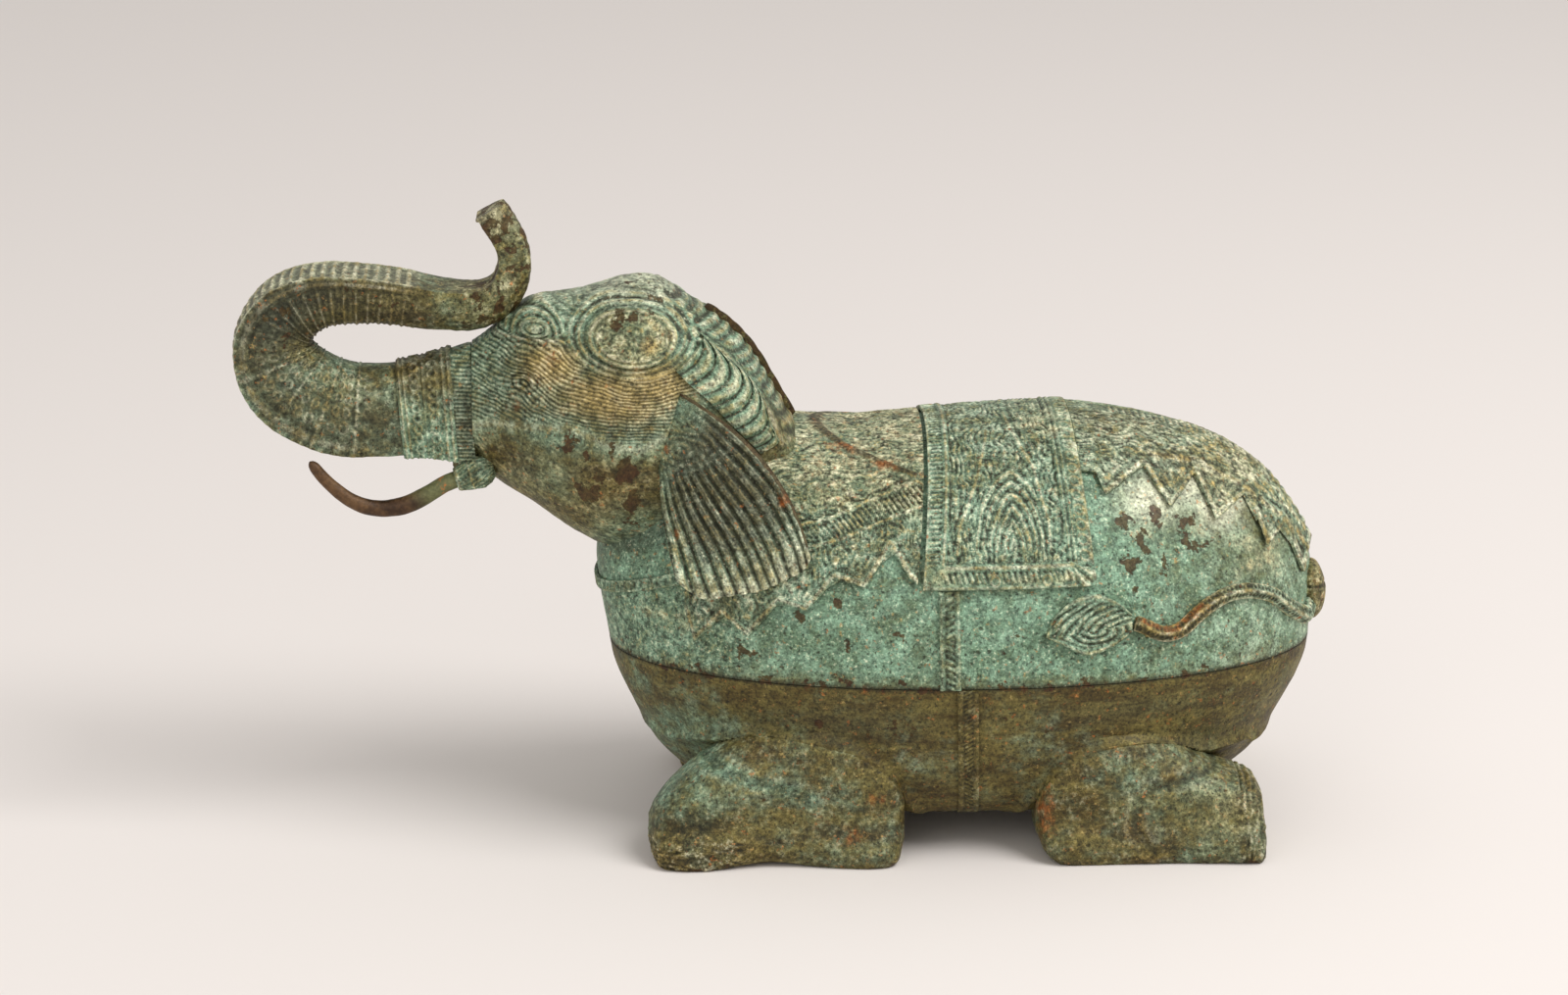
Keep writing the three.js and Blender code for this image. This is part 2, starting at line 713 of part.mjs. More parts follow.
function ear(side) {
  const sheet = (shift) => spread(0, 1, 2 * EAR_FLUTES).map((fan) => (
    spread(0, 1, EAR_ROWS).map((along) => earPoint(fan, along).add(v3(0, shift, 0)))
  ));
  const fan = toManifold(plate(sheet(-EAR_THICKNESS / 2), sheet(EAR_THICKNESS / 2)));
  const overCloth = 2 * JOINT_GAP + CLOTH_THICKNESS;
  return onSide(fromManifold(cut(fan, headCore(JOINT_GAP), lidCore(overCloth))), side);
}

// A round bar along points, with a radius at each.
function bar(points, radii, sides, squash = 1) {
  const rings = points.map((point, i) => {
    const before = points[Math.max(i - 1, 0)];
    const after = points[Math.min(i + 1, points.length - 1)];
    const along = after.clone().sub(before).normalize();
    const across = v3(0, 1, 0).cross(along).normalize();
    const up = along.clone().cross(across);
    return Array.from({ length: sides }, (_, k) => {
      const angle = (2 * Math.PI * k) / sides;
      return point.clone()
        .addScaledVector(across, radii[i] * Math.cos(angle))
        .addScaledVector(up, radii[i] * Math.sin(angle) * squash);
    });
  });
  return rings;
}

// Tusk: shares of its reach in front of the cuff, of its drop and of its radius.
const TUSK_SHAPE = smoothTable([
  [0, -0.12, 0.08, 1.05], [0.15, 0.07, -0.22, 1.05], [0.3, 0.22, -0.62, 1.08],
  [0.45, 0.36, -0.88, 1.08], [0.6, 0.52, -0.94, 1], [0.75, 0.68, -0.69, 0.9],
  [0.88, 0.82, -0.16, 0.8], [1, 0.945, 0.54, 0.62],
]);
const CUFF_SHAPE = [[0, 0.45], [0.15, 0.8], [0.35, 1], [0.7, 0.88], [0.92, 0.76], [1, 0.68]];
const CUFF_FRONT_X = MUZZLE_X - CUFF_OVERHANG;
const CUFF_FRONT_Z = HEAD_Z - CUFF_DROP;

function tuskPoint(share) {
  const [forward, drop, thick] = TUSK_SHAPE(share);
  return {
    point: v3(
      CUFF_FRONT_X - forward * TUSK_REACH,
      -TUSK_HALF_SPACING - TUSK_SPLAY * share,
      CUFF_FRONT_Z + drop * TUSK_DROP,
    ),
    radius: thick * TUSK_RADIUS,
  };
}

function tuskBar(from, to, steps, grow = 0) {
  const places = spread(from, to, steps).map(tuskPoint);
  return bar(places.map((p) => p.point), places.map((p) => p.radius + grow), 8);
}

function tuskCuff(side) {
  const root = v3(CUFF_FRONT_X + CUFF_LENGTH, -TUSK_HALF_SPACING, CUFF_FRONT_Z + CUFF_SLOPE);
  const front = tuskPoint(TUSK_SEAT).point;
  const points = CUFF_SHAPE.map(([share]) => root.clone().lerp(front, share));
  const shell = toManifold(loft(bar(points, CUFF_SHAPE.map(([, r]) => r * CUFF_RADIUS), 10)));
  const socket = toManifold(loft(tuskBar(0, 2 * TUSK_SEAT, 3, JOINT_GAP)));
  return onSide(fromManifold(
    cut(shell, socket, headCore(JOINT_GAP), trunkRootCore(JOINT_GAP)),
  ), side);
}

function leftTusk() {
  return loft(tuskBar(TUSK_ROOT, 1, 15));
}

function rightTuskStub() {
  return onSide(loft(tuskBar(TUSK_ROOT, STUB_END, 2)), 'right');
}

// Tail: its course over the left flank, in shares of the body's half length from its centre
// and of the lid's height above the seam.
const TAIL_COURSE = [
  [0.985, 0.106], [0.916, 0.193], [0.857, 0.275], [0.789, 0.32], [0.723, 0.328],
  [0.669, 0.304], [0.628, 0.269], [0.574, 0.213], [0.522, 0.207], [0.471, 0.246],
  [0.438, 0.266],
];
const KNOB_SCALE = [0.8, 1.6, 1.7];
const TAIL_SIDES = 6;
const TAIL_STEPS = 18;
const TAPER_STEPS = 8;

function tailCourse() {
  return TAIL_COURSE.map(([along, rise]) => (
    v3(BODY_CENTRE_X + along * BODY_HALF_LENGTH, 0, SEAM_Z + rise * LID_HEIGHT)
  ));
}

function knobCentre() {
  const [x, z] = crestPoint(KNOB_STATION, 0);
  return v3(x - KNOB_INSET, -KNOB_SIDE, z - KNOB_DROP);
}

function tailKnob(grow) {
  const knob = new THREE.SphereGeometry(KNOB_RADIUS + grow, 10, 8);
  knob.scale(...KNOB_SCALE);
  knob.translate(...knobCentre().toArray());
  return toManifold(knob);
}

// The tail starts inside the knob, so the two are one casting.
function tail() {
  const course = new THREE.CatmullRomCurve3(tailCourse(), false, 'centripetal');
  const points = course.getPoints(TAIL_STEPS);
  const thinnest = TAIL_RADIUS * (1 - TAIL_TAPER / 2);
  points.forEach((point) => {
    point.y = -lidSide(point.x, point.z, JOINT_GAP + thinnest);
  });
  points.unshift(knobCentre());
  const radii = points.map((_, i) => (
    thinnest + TAIL_RADIUS * TAIL_TAPER * (1 - Math.min(i / TAPER_STEPS, 1))
  ));
  const band = toManifold(loft(bar(points, radii, TAIL_SIDES)));
  return fromManifold(cut(band.add(tailKnob(0)), lidCore(JOINT_GAP)));
}

// Outline of the tuft, in shares of its length from the end of the tail and of its height.
const TUFT_SHAPE = [
  [0, 0.15], [-0.15, 0.345], [-0.4, 0.515], [-0.655, 0.455], [-0.91, 0.18], [-1, -0.12],
  [-0.785, -0.3], [-0.53, -0.475], [-0.235, -0.355], [-0.02, -0.14],
];

function tailTuft() {
  const end = tailCourse().pop();
  const tipX = end.x - TUFT_GAP;
  const outline = TUFT_SHAPE.map(([along, up]) => (
    [tipX + along * TUFT_LENGTH, end.z - TUFT_DROP + up * TUFT_HEIGHT]
  ));
  return fromManifold(
    overlay(lidCore, TUFT_THICKNESS).intersect(sidePrism(outline, -FAR_ENOUGH, 0)),
  );
}

// A layer of even thickness that lies on a core, one joint gap off it.
function overlay(core, thickness) {
  return core(JOINT_GAP + thickness).subtract(core(JOINT_GAP));
}

// Outline of the saddle cloth in side view, drawn in by an inset.
function saddleOutline(inset) {
  const top = BACK_Z + OVER_BACK;
  const hem = SEAM_Z + SADDLE_HEM_RISE + inset;
  const slope = (SADDLE_LENGTH_HEM - SADDLE_LENGTH_TOP) / 2 / (BACK_Z - SEAM_Z - SADDLE_HEM_RISE);
  const half = (z) => SADDLE_LENGTH_TOP / 2 + slope * (BACK_Z - z) - inset;
  return [
    [SADDLE_CENTRE_X - half(hem), hem], [SADDLE_CENTRE_X + half(hem), hem],
    [SADDLE_CENTRE_X + half(top), top], [SADDLE_CENTRE_X - half(top), top],
  ];
}

function saddlePrism(inset) {
  return sidePrism(saddleOutline(inset), -FAR_ENOUGH, FAR_ENOUGH);
}

function saddleCloth() {
  const cloth = overlay(lidCore, CLOTH_THICKNESS).intersect(saddlePrism(0));
  const border = overlay(lidCore, CLOTH_THICKNESS + BORDER_RISE)
    .intersect(saddlePrism(0)).subtract(saddlePrism(SADDLE_BORDER));
  return fromManifold(cloth.add(border));
}

// Neck cloth: from behind the ears to the saddle, with a hem of pointed pendants.
// Shares of the way to the saddle, and of the lid's height.
const NECK_HEM = [
  [0, 0.283], [0.036, 0.141], [0.158, 0.283], [0.268, 0.199], [0.4, 0.356], [0.52, 0.325],
  [0.643, 0.461], [0.775, 0.429], [0.885, 0.586], [0.9625, 0.471], [1, 0.44],
];

function neckCloth() {
  const saddleEdge = saddleOutline(-CLOTH_GAP);
  const rear = saddleEdge[0][0] - CLOTH_GAP;
  const hem = NECK_HEM.map(([along, up]) => [
    THREE.MathUtils.lerp(NECK_CLOTH_X, rear, along), SEAM_Z + up * LID_HEIGHT,
  ]);
  const top = BACK_Z + OVER_BACK;
  const outline = [[NECK_CLOTH_X, top], ...hem, [saddleEdge[3][0], top]];
  const layer = overlay(lidCore, CLOTH_THICKNESS)
    .intersect(sidePrism(outline, -FAR_ENOUGH, FAR_ENOUGH));
  return fromManifold(cut(layer, headCore(JOINT_GAP)));
}

// Rump cloth: a jagged, flame-like hem that falls from the saddle to the root of the tail.
// Shares of the way from the saddle to the tail root, and of the lid's height.
const RUMP_HEM_START = 0.45;
const RUMP_HEM_END = 0.99;
const RUMP_HEM = [
  [0.01, 0.84], [0.06, 0.83], [0.09, 0.75], [0.26, 0.84], [0.36, 0.68], [0.48, 0.79],
  [0.55, 0.61], [0.7, 0.69], [0.77, 0.47], [0.86, 0.53], [0.95, 0.3], [1, 0.45],
];

function rumpCloth() {
  const rearEdge = saddleOutline(-CLOTH_GAP);
  const start = rearEdge[2][0];
  const atHem = THREE.MathUtils.lerp(start, rearEdge[1][0], RUMP_HEM_START);
  const end = BODY_CENTRE_X + RUMP_HEM_END * BODY_HALF_LENGTH;
  const top = BACK_Z + OVER_BACK;
  const hem = RUMP_HEM.map(([along, up]) => [
    THREE.MathUtils.lerp(atHem, end, along), SEAM_Z + up * LID_HEIGHT,
  ]);
  const outline = [...hem, [end, top], [start, top]];
  const layer = overlay(lidCore, CLOTH_THICKNESS)
    .intersect(sidePrism(outline, -FAR_ENOUGH, FAR_ENOUGH));
  return fromManifold(cut(layer, tailKnob(JOINT_GAP)));
}

function strapOutline(centreX, lean, low, high) {
  return [
    [centreX + lean - STRAP_WIDTH / 2, low], [centreX + lean + STRAP_WIDTH / 2, low],
    [centreX + STRAP_WIDTH / 2, high], [centreX - STRAP_WIDTH / 2, high],
  ];
}

function lidGirthStrap(side) {
  const high = SEAM_Z + SADDLE_HEM_RISE - JOINT_GAP;
  const outline = strapOutline(LID_STRAP_X, LID_STRAP_LEAN, BELLY_Z, high);
  const strap = overlay(lidCore, STRAP_THICKNESS).intersect(sidePrism(outline, -FAR_ENOUGH, 0));
  return onSide(fromManifold(strap), side);
}

function baseGirthStrap(side) {
  const foot = BELLY_Z + BOWL_STRAP_RISE;
  const outline = strapOutline(BOWL_STRAP_X, BOWL_STRAP_LEAN, foot, SEAM_Z + SEAT_GAP);
  const strap = overlay(bowlCore, STRAP_THICKNESS).intersect(sidePrism(outline, -FAR_ENOUGH, 0));
  return onSide(fromManifold(strap), side);
}

// Chest collar: it rises from the foot of the chest to the front edge of the neck cloth.
function chestCollar() {
  const front = BODY_FRONT_X - 2 * CHEST_REACH;
  const rear = NECK_CLOTH_X - 2 * CLOTH_GAP;
  const low = (x) => (
    SEAM_Z + CHEST_BAND_RISE + CHEST_BAND_SLOPE * (x - BODY_FRONT_X + CHEST_REACH)
  );
  const outline = [
    [front, low(front)], [rear, low(rear)],
    [rear, low(rear) + CHEST_BAND_WIDTH], [front, low(front) + CHEST_BAND_WIDTH],
  ];
  return fromManifold(
    overlay(lidCore, STRAP_THICKNESS).intersect(sidePrism(outline, -FAR_ENOUGH, FAR_ENOUGH)),
  );
}

// An oval ornament that lies on the side of the head. The profile gives shares of the
// oval's half size against heights over the joint gap, from the edge to the middle.
function headOval({ centreX, centreZ, length, height, profile, count }) {
  const ring = (share, rise) => Array.from({ length: count }, (_, i) => {
    const angle = (2 * Math.PI * i) / count;
    const x = centreX + (share * length * Math.cos(angle)) / 2;
    const z = centreZ + (share * height * Math.sin(angle)) / 2;
    return v3(x, -headSide(x, z, ORNAMENT_GAP + rise), z);
  });
  const underside = [ring(0, 0), ring(0.5, 0), ring(1, 0)];
  return loft([...underside, ...profile.map(([share, rise]) => ring(share, rise))]);
}

// Temple medallion: a plate with a raised rim, a raised ring and a boss.
function medallion(side) {
  const low = ORNAMENT_THICKNESS;
  const high = 2 * ORNAMENT_THICKNESS;
  const ringShare = (2 * RING_WIDTH) / MEDALLION_HEIGHT;
  const inner = 1 - 2 * ringShare;
  return onSide(headOval({
    centreX: headX(MEDALLION_PLACE),
    centreZ: headZ(MEDALLION_RISE),
    length: MEDALLION_LENGTH,
    height: MEDALLION_HEIGHT,
    profile: [
      [1, high], [1 - ringShare, high], [1 - 1.3 * ringShare, low], [inner, low],
      [inner - 0.3 * ringShare, high], [inner - ringShare, high], [inner - 1.3 * ringShare, low],
      [0.25, low], [0.18, high], [0, high],
    ],
    count: 14,
  }), side);
}

function eye(side) {
  return onSide(headOval({
    centreX: headX(EYE_PLACE),
    centreZ: headZ(EYE_RISE),
    length: EYE_LENGTH,
    height: EYE_HEIGHT,
    profile: [[1, ORNAMENT_THICKNESS], [0.6, ORNAMENT_THICKNESS], [0, 2.4 * ORNAMENT_THICKNESS]],
    count: 10,
  }), side);
}

// Mane crest: a faintly notched fin down the back of the neck.
function maneCrest() {
  const top = [];
  const bottom = [];
  spread(CREST_START, CREST_END, 2 * CREST_TEETH).forEach((share, i) => {
    const [above] = HEAD_SHAPE(share);
    const tooth = CREST_HEIGHT * (i % 2 ? 1 : CREST_NOTCH) * Math.SQRT1_2;
    top.push([headX(share) + tooth, headZ(above) + tooth]);
    bottom.push([headX(share) - CREST_ROOT, headZ(above) - CREST_ROOT]);
  });
  const fin = sidePrism([...bottom, ...top.reverse()], -CREST_THICKNESS / 2, CREST_THICKNESS / 2);
  return fromManifold(cut(fin, headCore(JOINT_GAP), lidCore(JOINT_GAP)));
}

// Neck ribs: tapered crescents that sweep from the ridge of the neck to the root of the ear,
// on a thin plate. Rows: place in the series, then x and z of the top and of the foot of a rib,
// as shares of the head's length and half height.
const NECK_RIB_ENDS = smoothTable([
  [0, 0.685, 0.684, 0.609, 0.479], [0.17, 0.752, 0.547, 0.653, 0.374],
  [0.33, 0.804, 0.437, 0.704, 0.267], [0.5, 0.847, 0.307, 0.747, 0.154],
  [0.67, 0.869, 0.161, 0.791, 0.039], [0.83, 0.883, 0.009, 0.829, -0.06],
  [1, 0.898, -0.1, 0.859, -0.147],
]);

const NECK_RIB_STEPS = 3;
const NECK_RIB_TAPER = 0.65;

function neckRibs(side) {
  const columns = spread(0, 1, 2 * NECK_RIBS);
  const grid = (rise) => columns.map((along, i) => {
    const [topPlace, topRise, footPlace, footRise] = NECK_RIB_ENDS(along);
    return spread(0, 1, NECK_RIB_STEPS).map((t) => {
      const bow = 4 * t * (1 - t) * NECK_RIB_BOW;
      const x = THREE.MathUtils.lerp(headX(topPlace), headX(footPlace), t) + bow;
      const z = THREE.MathUtils.lerp(headZ(topRise), headZ(footRise), t) + bow;
      return v3(x, -headSide(x, z, ORNAMENT_GAP + rise(i, t)), z);
    });
  });
  const crescent = (i, t) => (
    i % 2 ? NECK_RIB_HEIGHT * (1 - NECK_RIB_TAPER * (1 - Math.sin(Math.PI * t))) : 0
  );
  const ribs = toManifold(plate(
    grid((i, t) => ORNAMENT_THICKNESS + crescent(i, t)),
    grid(() => 0),
  ));
  return onSide(fromManifold(cut(ribs, lidCore(2 * JOINT_GAP + CLOTH_THICKNESS))), side);
}

// Legs: lofts along x whose sections run from the inner to the outer side of the leg.
// Rows: place along the leg, inner side, outer side, underside height, top height.
// The upper parts run into the belly, so the limbs grow out of it without a step.
const FRONT_LEG_SHAPE = smoothTable([
  [0, 0.5, 0.62, 0.2, 0.4], [0.03, 0.3, 0.86, 0.05, 0.54], [0.1, 0.12, 0.97, 0, 0.72],
  [0.22, 0.04, 1, 0, 0.96], [0.36, 0, 0.98, 0.05, 1.16], [0.5, 0, 0.94, 0.07, 1.26],
  [0.64, 0, 0.96, 0.03, 1.28], [0.78, 0, 1, 0, 1.22], [0.9, 0.04, 1, 0, 1.02],
  [0.97, 0.14, 0.94, 0.05, 0.84], [1, 0.3, 0.8, 0.2, 0.66],
]);
const REAR_LEG_SHAPE = smoothTable([
  [0, 0.3, 0.8, 0.28, 0.68], [0.03, 0.14, 0.93, 0.14, 0.86], [0.1, 0.04, 0.99, 0.02, 1.08],
  [0.22, 0, 1, 0, 1.26], [0.4, 0, 0.99, 0, 1.32], [0.6, 0, 0.98, 0, 1.18],
  [0.8, 0, 1, 0, 0.92], [0.94, 0.02, 1, 0, 0.79], [0.985, 0.05, 0.98, 0, 0.7],
  [1, 0.09, 0.94, 0.03, 0.6],
]);
const LEG_SHARES = [0, 0.03, 0.09, 0.18, 0.3, 0.44, 0.58, 0.72, 0.85, 0.93, 0.975, 1];
const LEG_POINTS = 14;
const SOLE_FLATNESS = 1.12;
const SOLE_POWERS = [0.45, 0.5];
const SHANK_POWERS = [0.8, 0.85];

function legRing(shape, share, fromX, toX, height) {
  const [inner, outer, low, high] = shape(share);
  const outerY = BODY_HALF_WIDTH - LEG_INSET - (1 - outer) * LEG_WIDTH;
  const innerY = BODY_HALF_WIDTH - LEG_INSET - (1 - inner) * LEG_WIDTH;
  const middleZ = ((low + high) / 2) * height;
  const halfHeight = ((high - low) / 2) * height;
  return Array.from({ length: LEG_POINTS }, (_, i) => {
    const angle = (2 * Math.PI * (i + 0.5)) / LEG_POINTS;
    const c = Math.cos(angle);
    const s = Math.sin(angle);
    const [across, along] = s < 0 ? SOLE_POWERS : SHANK_POWERS;
    const rise = (s < 0 ? -SOLE_FLATNESS : 1) * Math.abs(s) ** along;
    const side = Math.sign(c) * Math.abs(c) ** across;
    const z = Math.max(middleZ + halfHeight * rise, 0);
    const flare = SOLE_FLARE * Math.max(1 - z / SOLE_FLARE_HEIGHT, 0) * Math.max(side, 0);
    return v3(
      THREE.MathUtils.lerp(fromX, toX, share),
      -(innerY + outerY) / 2 - ((outerY - innerY) / 2) * side - flare,
      z,
    );
  });
}

function leg(shape, fromX, toX, height, side) {
  const rings = LEG_SHARES.map((share) => legRing(shape, share, fromX, toX, height));
  return onSide(fromManifold(cut(toManifold(loft(rings)), bowlCore(JOINT_GAP))), side);
}

function frontLeg(side) {
  const tuck = side === 'right' ? RIGHT_FOOT_TUCK : 0;
  const toe = BODY_FRONT_X + FRONT_FOOT_INSET;
  return leg(FRONT_LEG_SHAPE, toe + tuck, toe + FRONT_LEG_LENGTH, FRONT_LEG_HEIGHT, side);
}

function rearLeg(side) {
  const sole = BODY_CENTRE_X + BODY_HALF_LENGTH - REAR_SOLE_INSET;
  return leg(REAR_LEG_SHAPE, sole - REAR_LEG_LENGTH, sole, REAR_LEG_HEIGHT, side);
}

// Assembly.
const box = new THREE.Group();

function addPiece(name, geometry, color) {
  const mesh = new THREE.Mesh(geometry, bronze(color));
  mesh.name = name;
  box.add(mesh);
}

addPiece('base_bowl', baseBowl(), PATINA.moss);
addPiece('lid_shell', lidShell(), PATINA.teal);
addPiece('head', head(), PATINA.teal);
addPiece('trunk', trunk(), PATINA.moss);
addPiece('trunk_collar', trunkCollar(), PATINA.teal);
addPiece('left_tusk', leftTusk(), PATINA.dark);
addPiece('right_tusk_stub', rightTuskStub(), PATINA.dark);
addPiece('tail', tail(), PATINA.ochre);
addPiece('tail_tuft', tailTuft(), PATINA.teal);
addPiece('saddle_cloth', saddleCloth(), PATINA.teal);
addPiece('neck_cloth', neckCloth(), PATINA.teal);
addPiece('rump_cloth', rumpCloth(), PATINA.teal);
addPiece('chest_collar', chestCollar(), PATINA.teal);
addPiece('mane_crest', maneCrest(), PATINA.moss);
for (const side of ['left', 'right']) {
  addPiece(`front_${side}_leg`, frontLeg(side), PATINA.moss);
  addPiece(`rear_${side}_leg`, rearLeg(side), PATINA.moss);
  addPiece(`base_${side}_girth_strap`, baseGirthStrap(side), PATINA.moss);
  addPiece(`lid_${side}_girth_strap`, lidGirthStrap(side), PATINA.teal);
  addPiece(`${side}_ear`, ear(side), PATINA.teal);
  addPiece(`${side}_tusk_cuff`, tuskCuff(side), PATINA.teal);
  addPiece(`${side}_temple_medallion`, medallion(side), PATINA.ochre);
  addPiece(`${side}_eye`, eye(side), PATINA.ochre);
  addPiece(`${side}_neck_ribs`, neckRibs(side), PATINA.teal);
}

// The object's origin is on the ground, under the middle of its outline.
const extent = new THREE.Box3().setFromObject(box);
const middle = extent.getCenter(v3(0, 0, 0));
box.position.set(-middle.x, -middle.y, -extent.min.z);

export default box;
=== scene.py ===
import math

import bpy
import numpy as np
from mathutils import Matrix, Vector


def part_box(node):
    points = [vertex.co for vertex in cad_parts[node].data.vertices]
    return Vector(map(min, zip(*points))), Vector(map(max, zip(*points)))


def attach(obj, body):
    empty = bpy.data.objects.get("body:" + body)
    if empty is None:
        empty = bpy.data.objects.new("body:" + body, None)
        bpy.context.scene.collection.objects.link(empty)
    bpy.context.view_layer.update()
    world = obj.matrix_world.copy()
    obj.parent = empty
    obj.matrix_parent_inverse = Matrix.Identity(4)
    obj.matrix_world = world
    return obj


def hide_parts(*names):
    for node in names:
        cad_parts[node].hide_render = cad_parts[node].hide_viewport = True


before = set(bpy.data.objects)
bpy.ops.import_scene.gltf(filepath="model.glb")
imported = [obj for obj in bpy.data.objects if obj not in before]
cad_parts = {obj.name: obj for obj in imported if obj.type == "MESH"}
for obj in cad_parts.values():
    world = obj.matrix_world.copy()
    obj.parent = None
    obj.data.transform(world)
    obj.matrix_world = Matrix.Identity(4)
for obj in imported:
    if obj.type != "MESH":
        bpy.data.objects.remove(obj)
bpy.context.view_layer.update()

# Millimetres in the object's own frame: x from the middle of the bowl, the elephant looks
# along -x, its left side faces -y, z is up from the floor.
MM = 0.001
bowl_low, bowl_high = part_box("base_bowl")
shell_low, shell_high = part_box("lid_shell")
SHIFT_X = (bowl_low.x + bowl_high.x) / 2 / MM
HALF_LENGTH = (bowl_high.x - bowl_low.x) / 2 / MM
HALF_WIDTH = (bowl_high.y - bowl_low.y) / 2 / MM
RIM_Z = shell_low.z / MM
LID_HEIGHT = (shell_high.z - shell_low.z) / MM
SEAT_GAP = 0.3
SEAM_Z = RIM_Z - SEAT_GAP
BACK_Z = SEAM_Z + LID_HEIGHT
BELLY_Z = bowl_low.z / MM
PLAN_POWER = 2.1
LID_WALL = 3.2
BOWL_WALL = 4.5
LIP_HEIGHT = 6
LIP_INSET = 4
LIP_THICKNESS = 2.5

HEAD_LENGTH = 137
HEAD_HALF_HEIGHT = 57
HEAD_HALF_WIDTH = 47
HEAD_Z = BACK_Z + 2
MUZZLE_X = -HALF_LENGTH - 55.5
TRUNK_REACH = 81
TRUNK_RISE = 45
TRUNK_THICKNESS = 48
TRUNK_WIDTH = 35
ROOT_Z = HEAD_Z + 5.5

# Gaps under castings that are brazed on, under the cloths and under the ornaments on the head.
GAP = 0.3
CLOTH_GAP = 1
ORNAMENT_GAP = 0.5


# Numbers

def lerp(a, b, t):
    return a + (b - a) * t


def smooth_table(rows):
    """A smooth curve through rows of numbers, whose first number is the parameter."""
    rows = np.array(rows, float)
    t, v = rows[:, 0], rows[:, 1:]
    slope = np.empty_like(v)
    slope[1:-1] = (v[2:] - v[:-2]) / (t[2:] - t[:-2])[:, None]
    slope[0] = (v[1] - v[0]) / (t[1] - t[0])
    slope[-1] = (v[-1] - v[-2]) / (t[-1] - t[-2])

    def at(x):
        x = np.asarray(x, float)
        i = np.clip(np.searchsorted(t, x, side="right") - 1, 0, len(t) - 2)
        span = (t[i + 1] - t[i])[..., None]
        f = np.clip((x - t[i]) / (t[i + 1] - t[i]), 0, 1)[..., None]
        value = v[i] * (2 * f**3 - 3 * f**2 + 1) + v[i + 1] * (3 * f**2 - 2 * f**3)
        value = value + slope[i] * span * (f**3 - 2 * f**2 + f) + slope[i + 1] * span * (f**3 - f**2)
        return np.moveaxis(value, -1, 0)

    return at


def ramp(x, low, high):
    f = np.clip((x - low) / (high - low), 0, 1)
    return f * f * (3 - 2 * f)


def bell(d, width):
    return np.exp(-((d / width) ** 2))


def power(value, exponent):
    return np.sign(value) * np.abs(value) ** exponent


def waves(value, pitch=1):
    """Even lines one pitch apart, from -1 to 1."""
    return np.cos(2 * np.pi * value / pitch)


def bisect(test, low, high, turns=18):
    """Halves the span between low, where the test holds, and high, where it doesn't."""
    for _ in range(turns):
        middle = (low + high) / 2
        held = test(middle)
        low, high = np.where(held, middle, low), np.where(held, high, middle)
    return low, high


def unit_grid(rows, columns):
    return np.linspace(0, 1, rows)[:, None], np.linspace(0, 1, columns)[None, :]


def side_view(points):
    return points[..., 0], points[..., 2]


def plane(a, b):
    """Places on a plane, for noise."""
    return np.stack([a, b, 0 * a], -1)


LATTICE_SIZE = 64
LATTICE = np.random.default_rng(7).random((LATTICE_SIZE, LATTICE_SIZE, LATTICE_SIZE))


def noise(points, size, seed=0):
    """Smooth noise from -1 to 1 whose lumps are about size millimetres apart."""
    q = np.asarray(points, float) / size + 17.3 * (seed + 1)
    cell = np.floor(q).astype(int)
    f = q - cell
    f = f * f * (3 - 2 * f)
    total = 0
    for step in np.ndindex(2, 2, 2):
        i, j, k = np.moveaxis((cell + step) % LATTICE_SIZE, -1, 0)
        total = total + np.prod(np.abs(1 - np.array(step) - f), -1) * LATTICE[i, j, k]
    return 2 * total - 1


def fractal(points, size, octaves=3, seed=0):
    return sum(noise(points, size / 2**k, seed + k) / 2**k for k in range(octaves)) / 1.5


def segment_distance(x, z, start, end):
    (ax, az), (bx, bz) = start, end
    length = math.hypot(bx - ax, bz - az)
    ux, uz = (bx - ax) / length, (bz - az) / length
    along = np.clip((x - ax) * ux + (z - az) * uz, 0, length)
    return np.hypot(x - ax - along * ux, z - az - along * uz), along / length


def polyline_distance(x, z, points):
    """Distance to a line through points, and how far along it the nearest place is."""
    best = np.full(np.shape(x), 1e9)
    place = np.zeros(np.shape(x))
    travelled = 0
    for start, end in zip(points[:-1], points[1:]):
        length = math.dist(start, end)
        d, share = segment_distance(x, z, start, end)
        nearer = d < best
        best = np.where(nearer, d, best)
        place = np.where(nearer, travelled + share * length, place)
        travelled += length
    return best, place


# Meshes

def grid_faces(rows, columns, first=0, wrap=False, flip=False):
    i, j = np.meshgrid(np.arange(rows - 1), np.arange(columns if wrap else columns - 1), indexing="ij")
    k = (j + 1) % columns
    quads = np.stack([i * columns + j, i * columns + k, (i + 1) * columns + k, (i + 1) * columns + j], -1)
    quads = quads.reshape(-1, 4) + first
    return quads[:, ::-1] if flip else quads


def normals_of(grid, wrap=False):
    """Unit normals of a grid of points, by differences along its rows and columns."""
    along = np.gradient(grid, axis=0)
    if wrap:
        across = (np.roll(grid, -1, 1) - np.roll(grid, 1, 1)) / 2
    else:
        across = np.gradient(grid, axis=1)
    n = np.cross(along, across)
    return n / np.maximum(np.linalg.norm(n, axis=-1, keepdims=True), 1e-9)


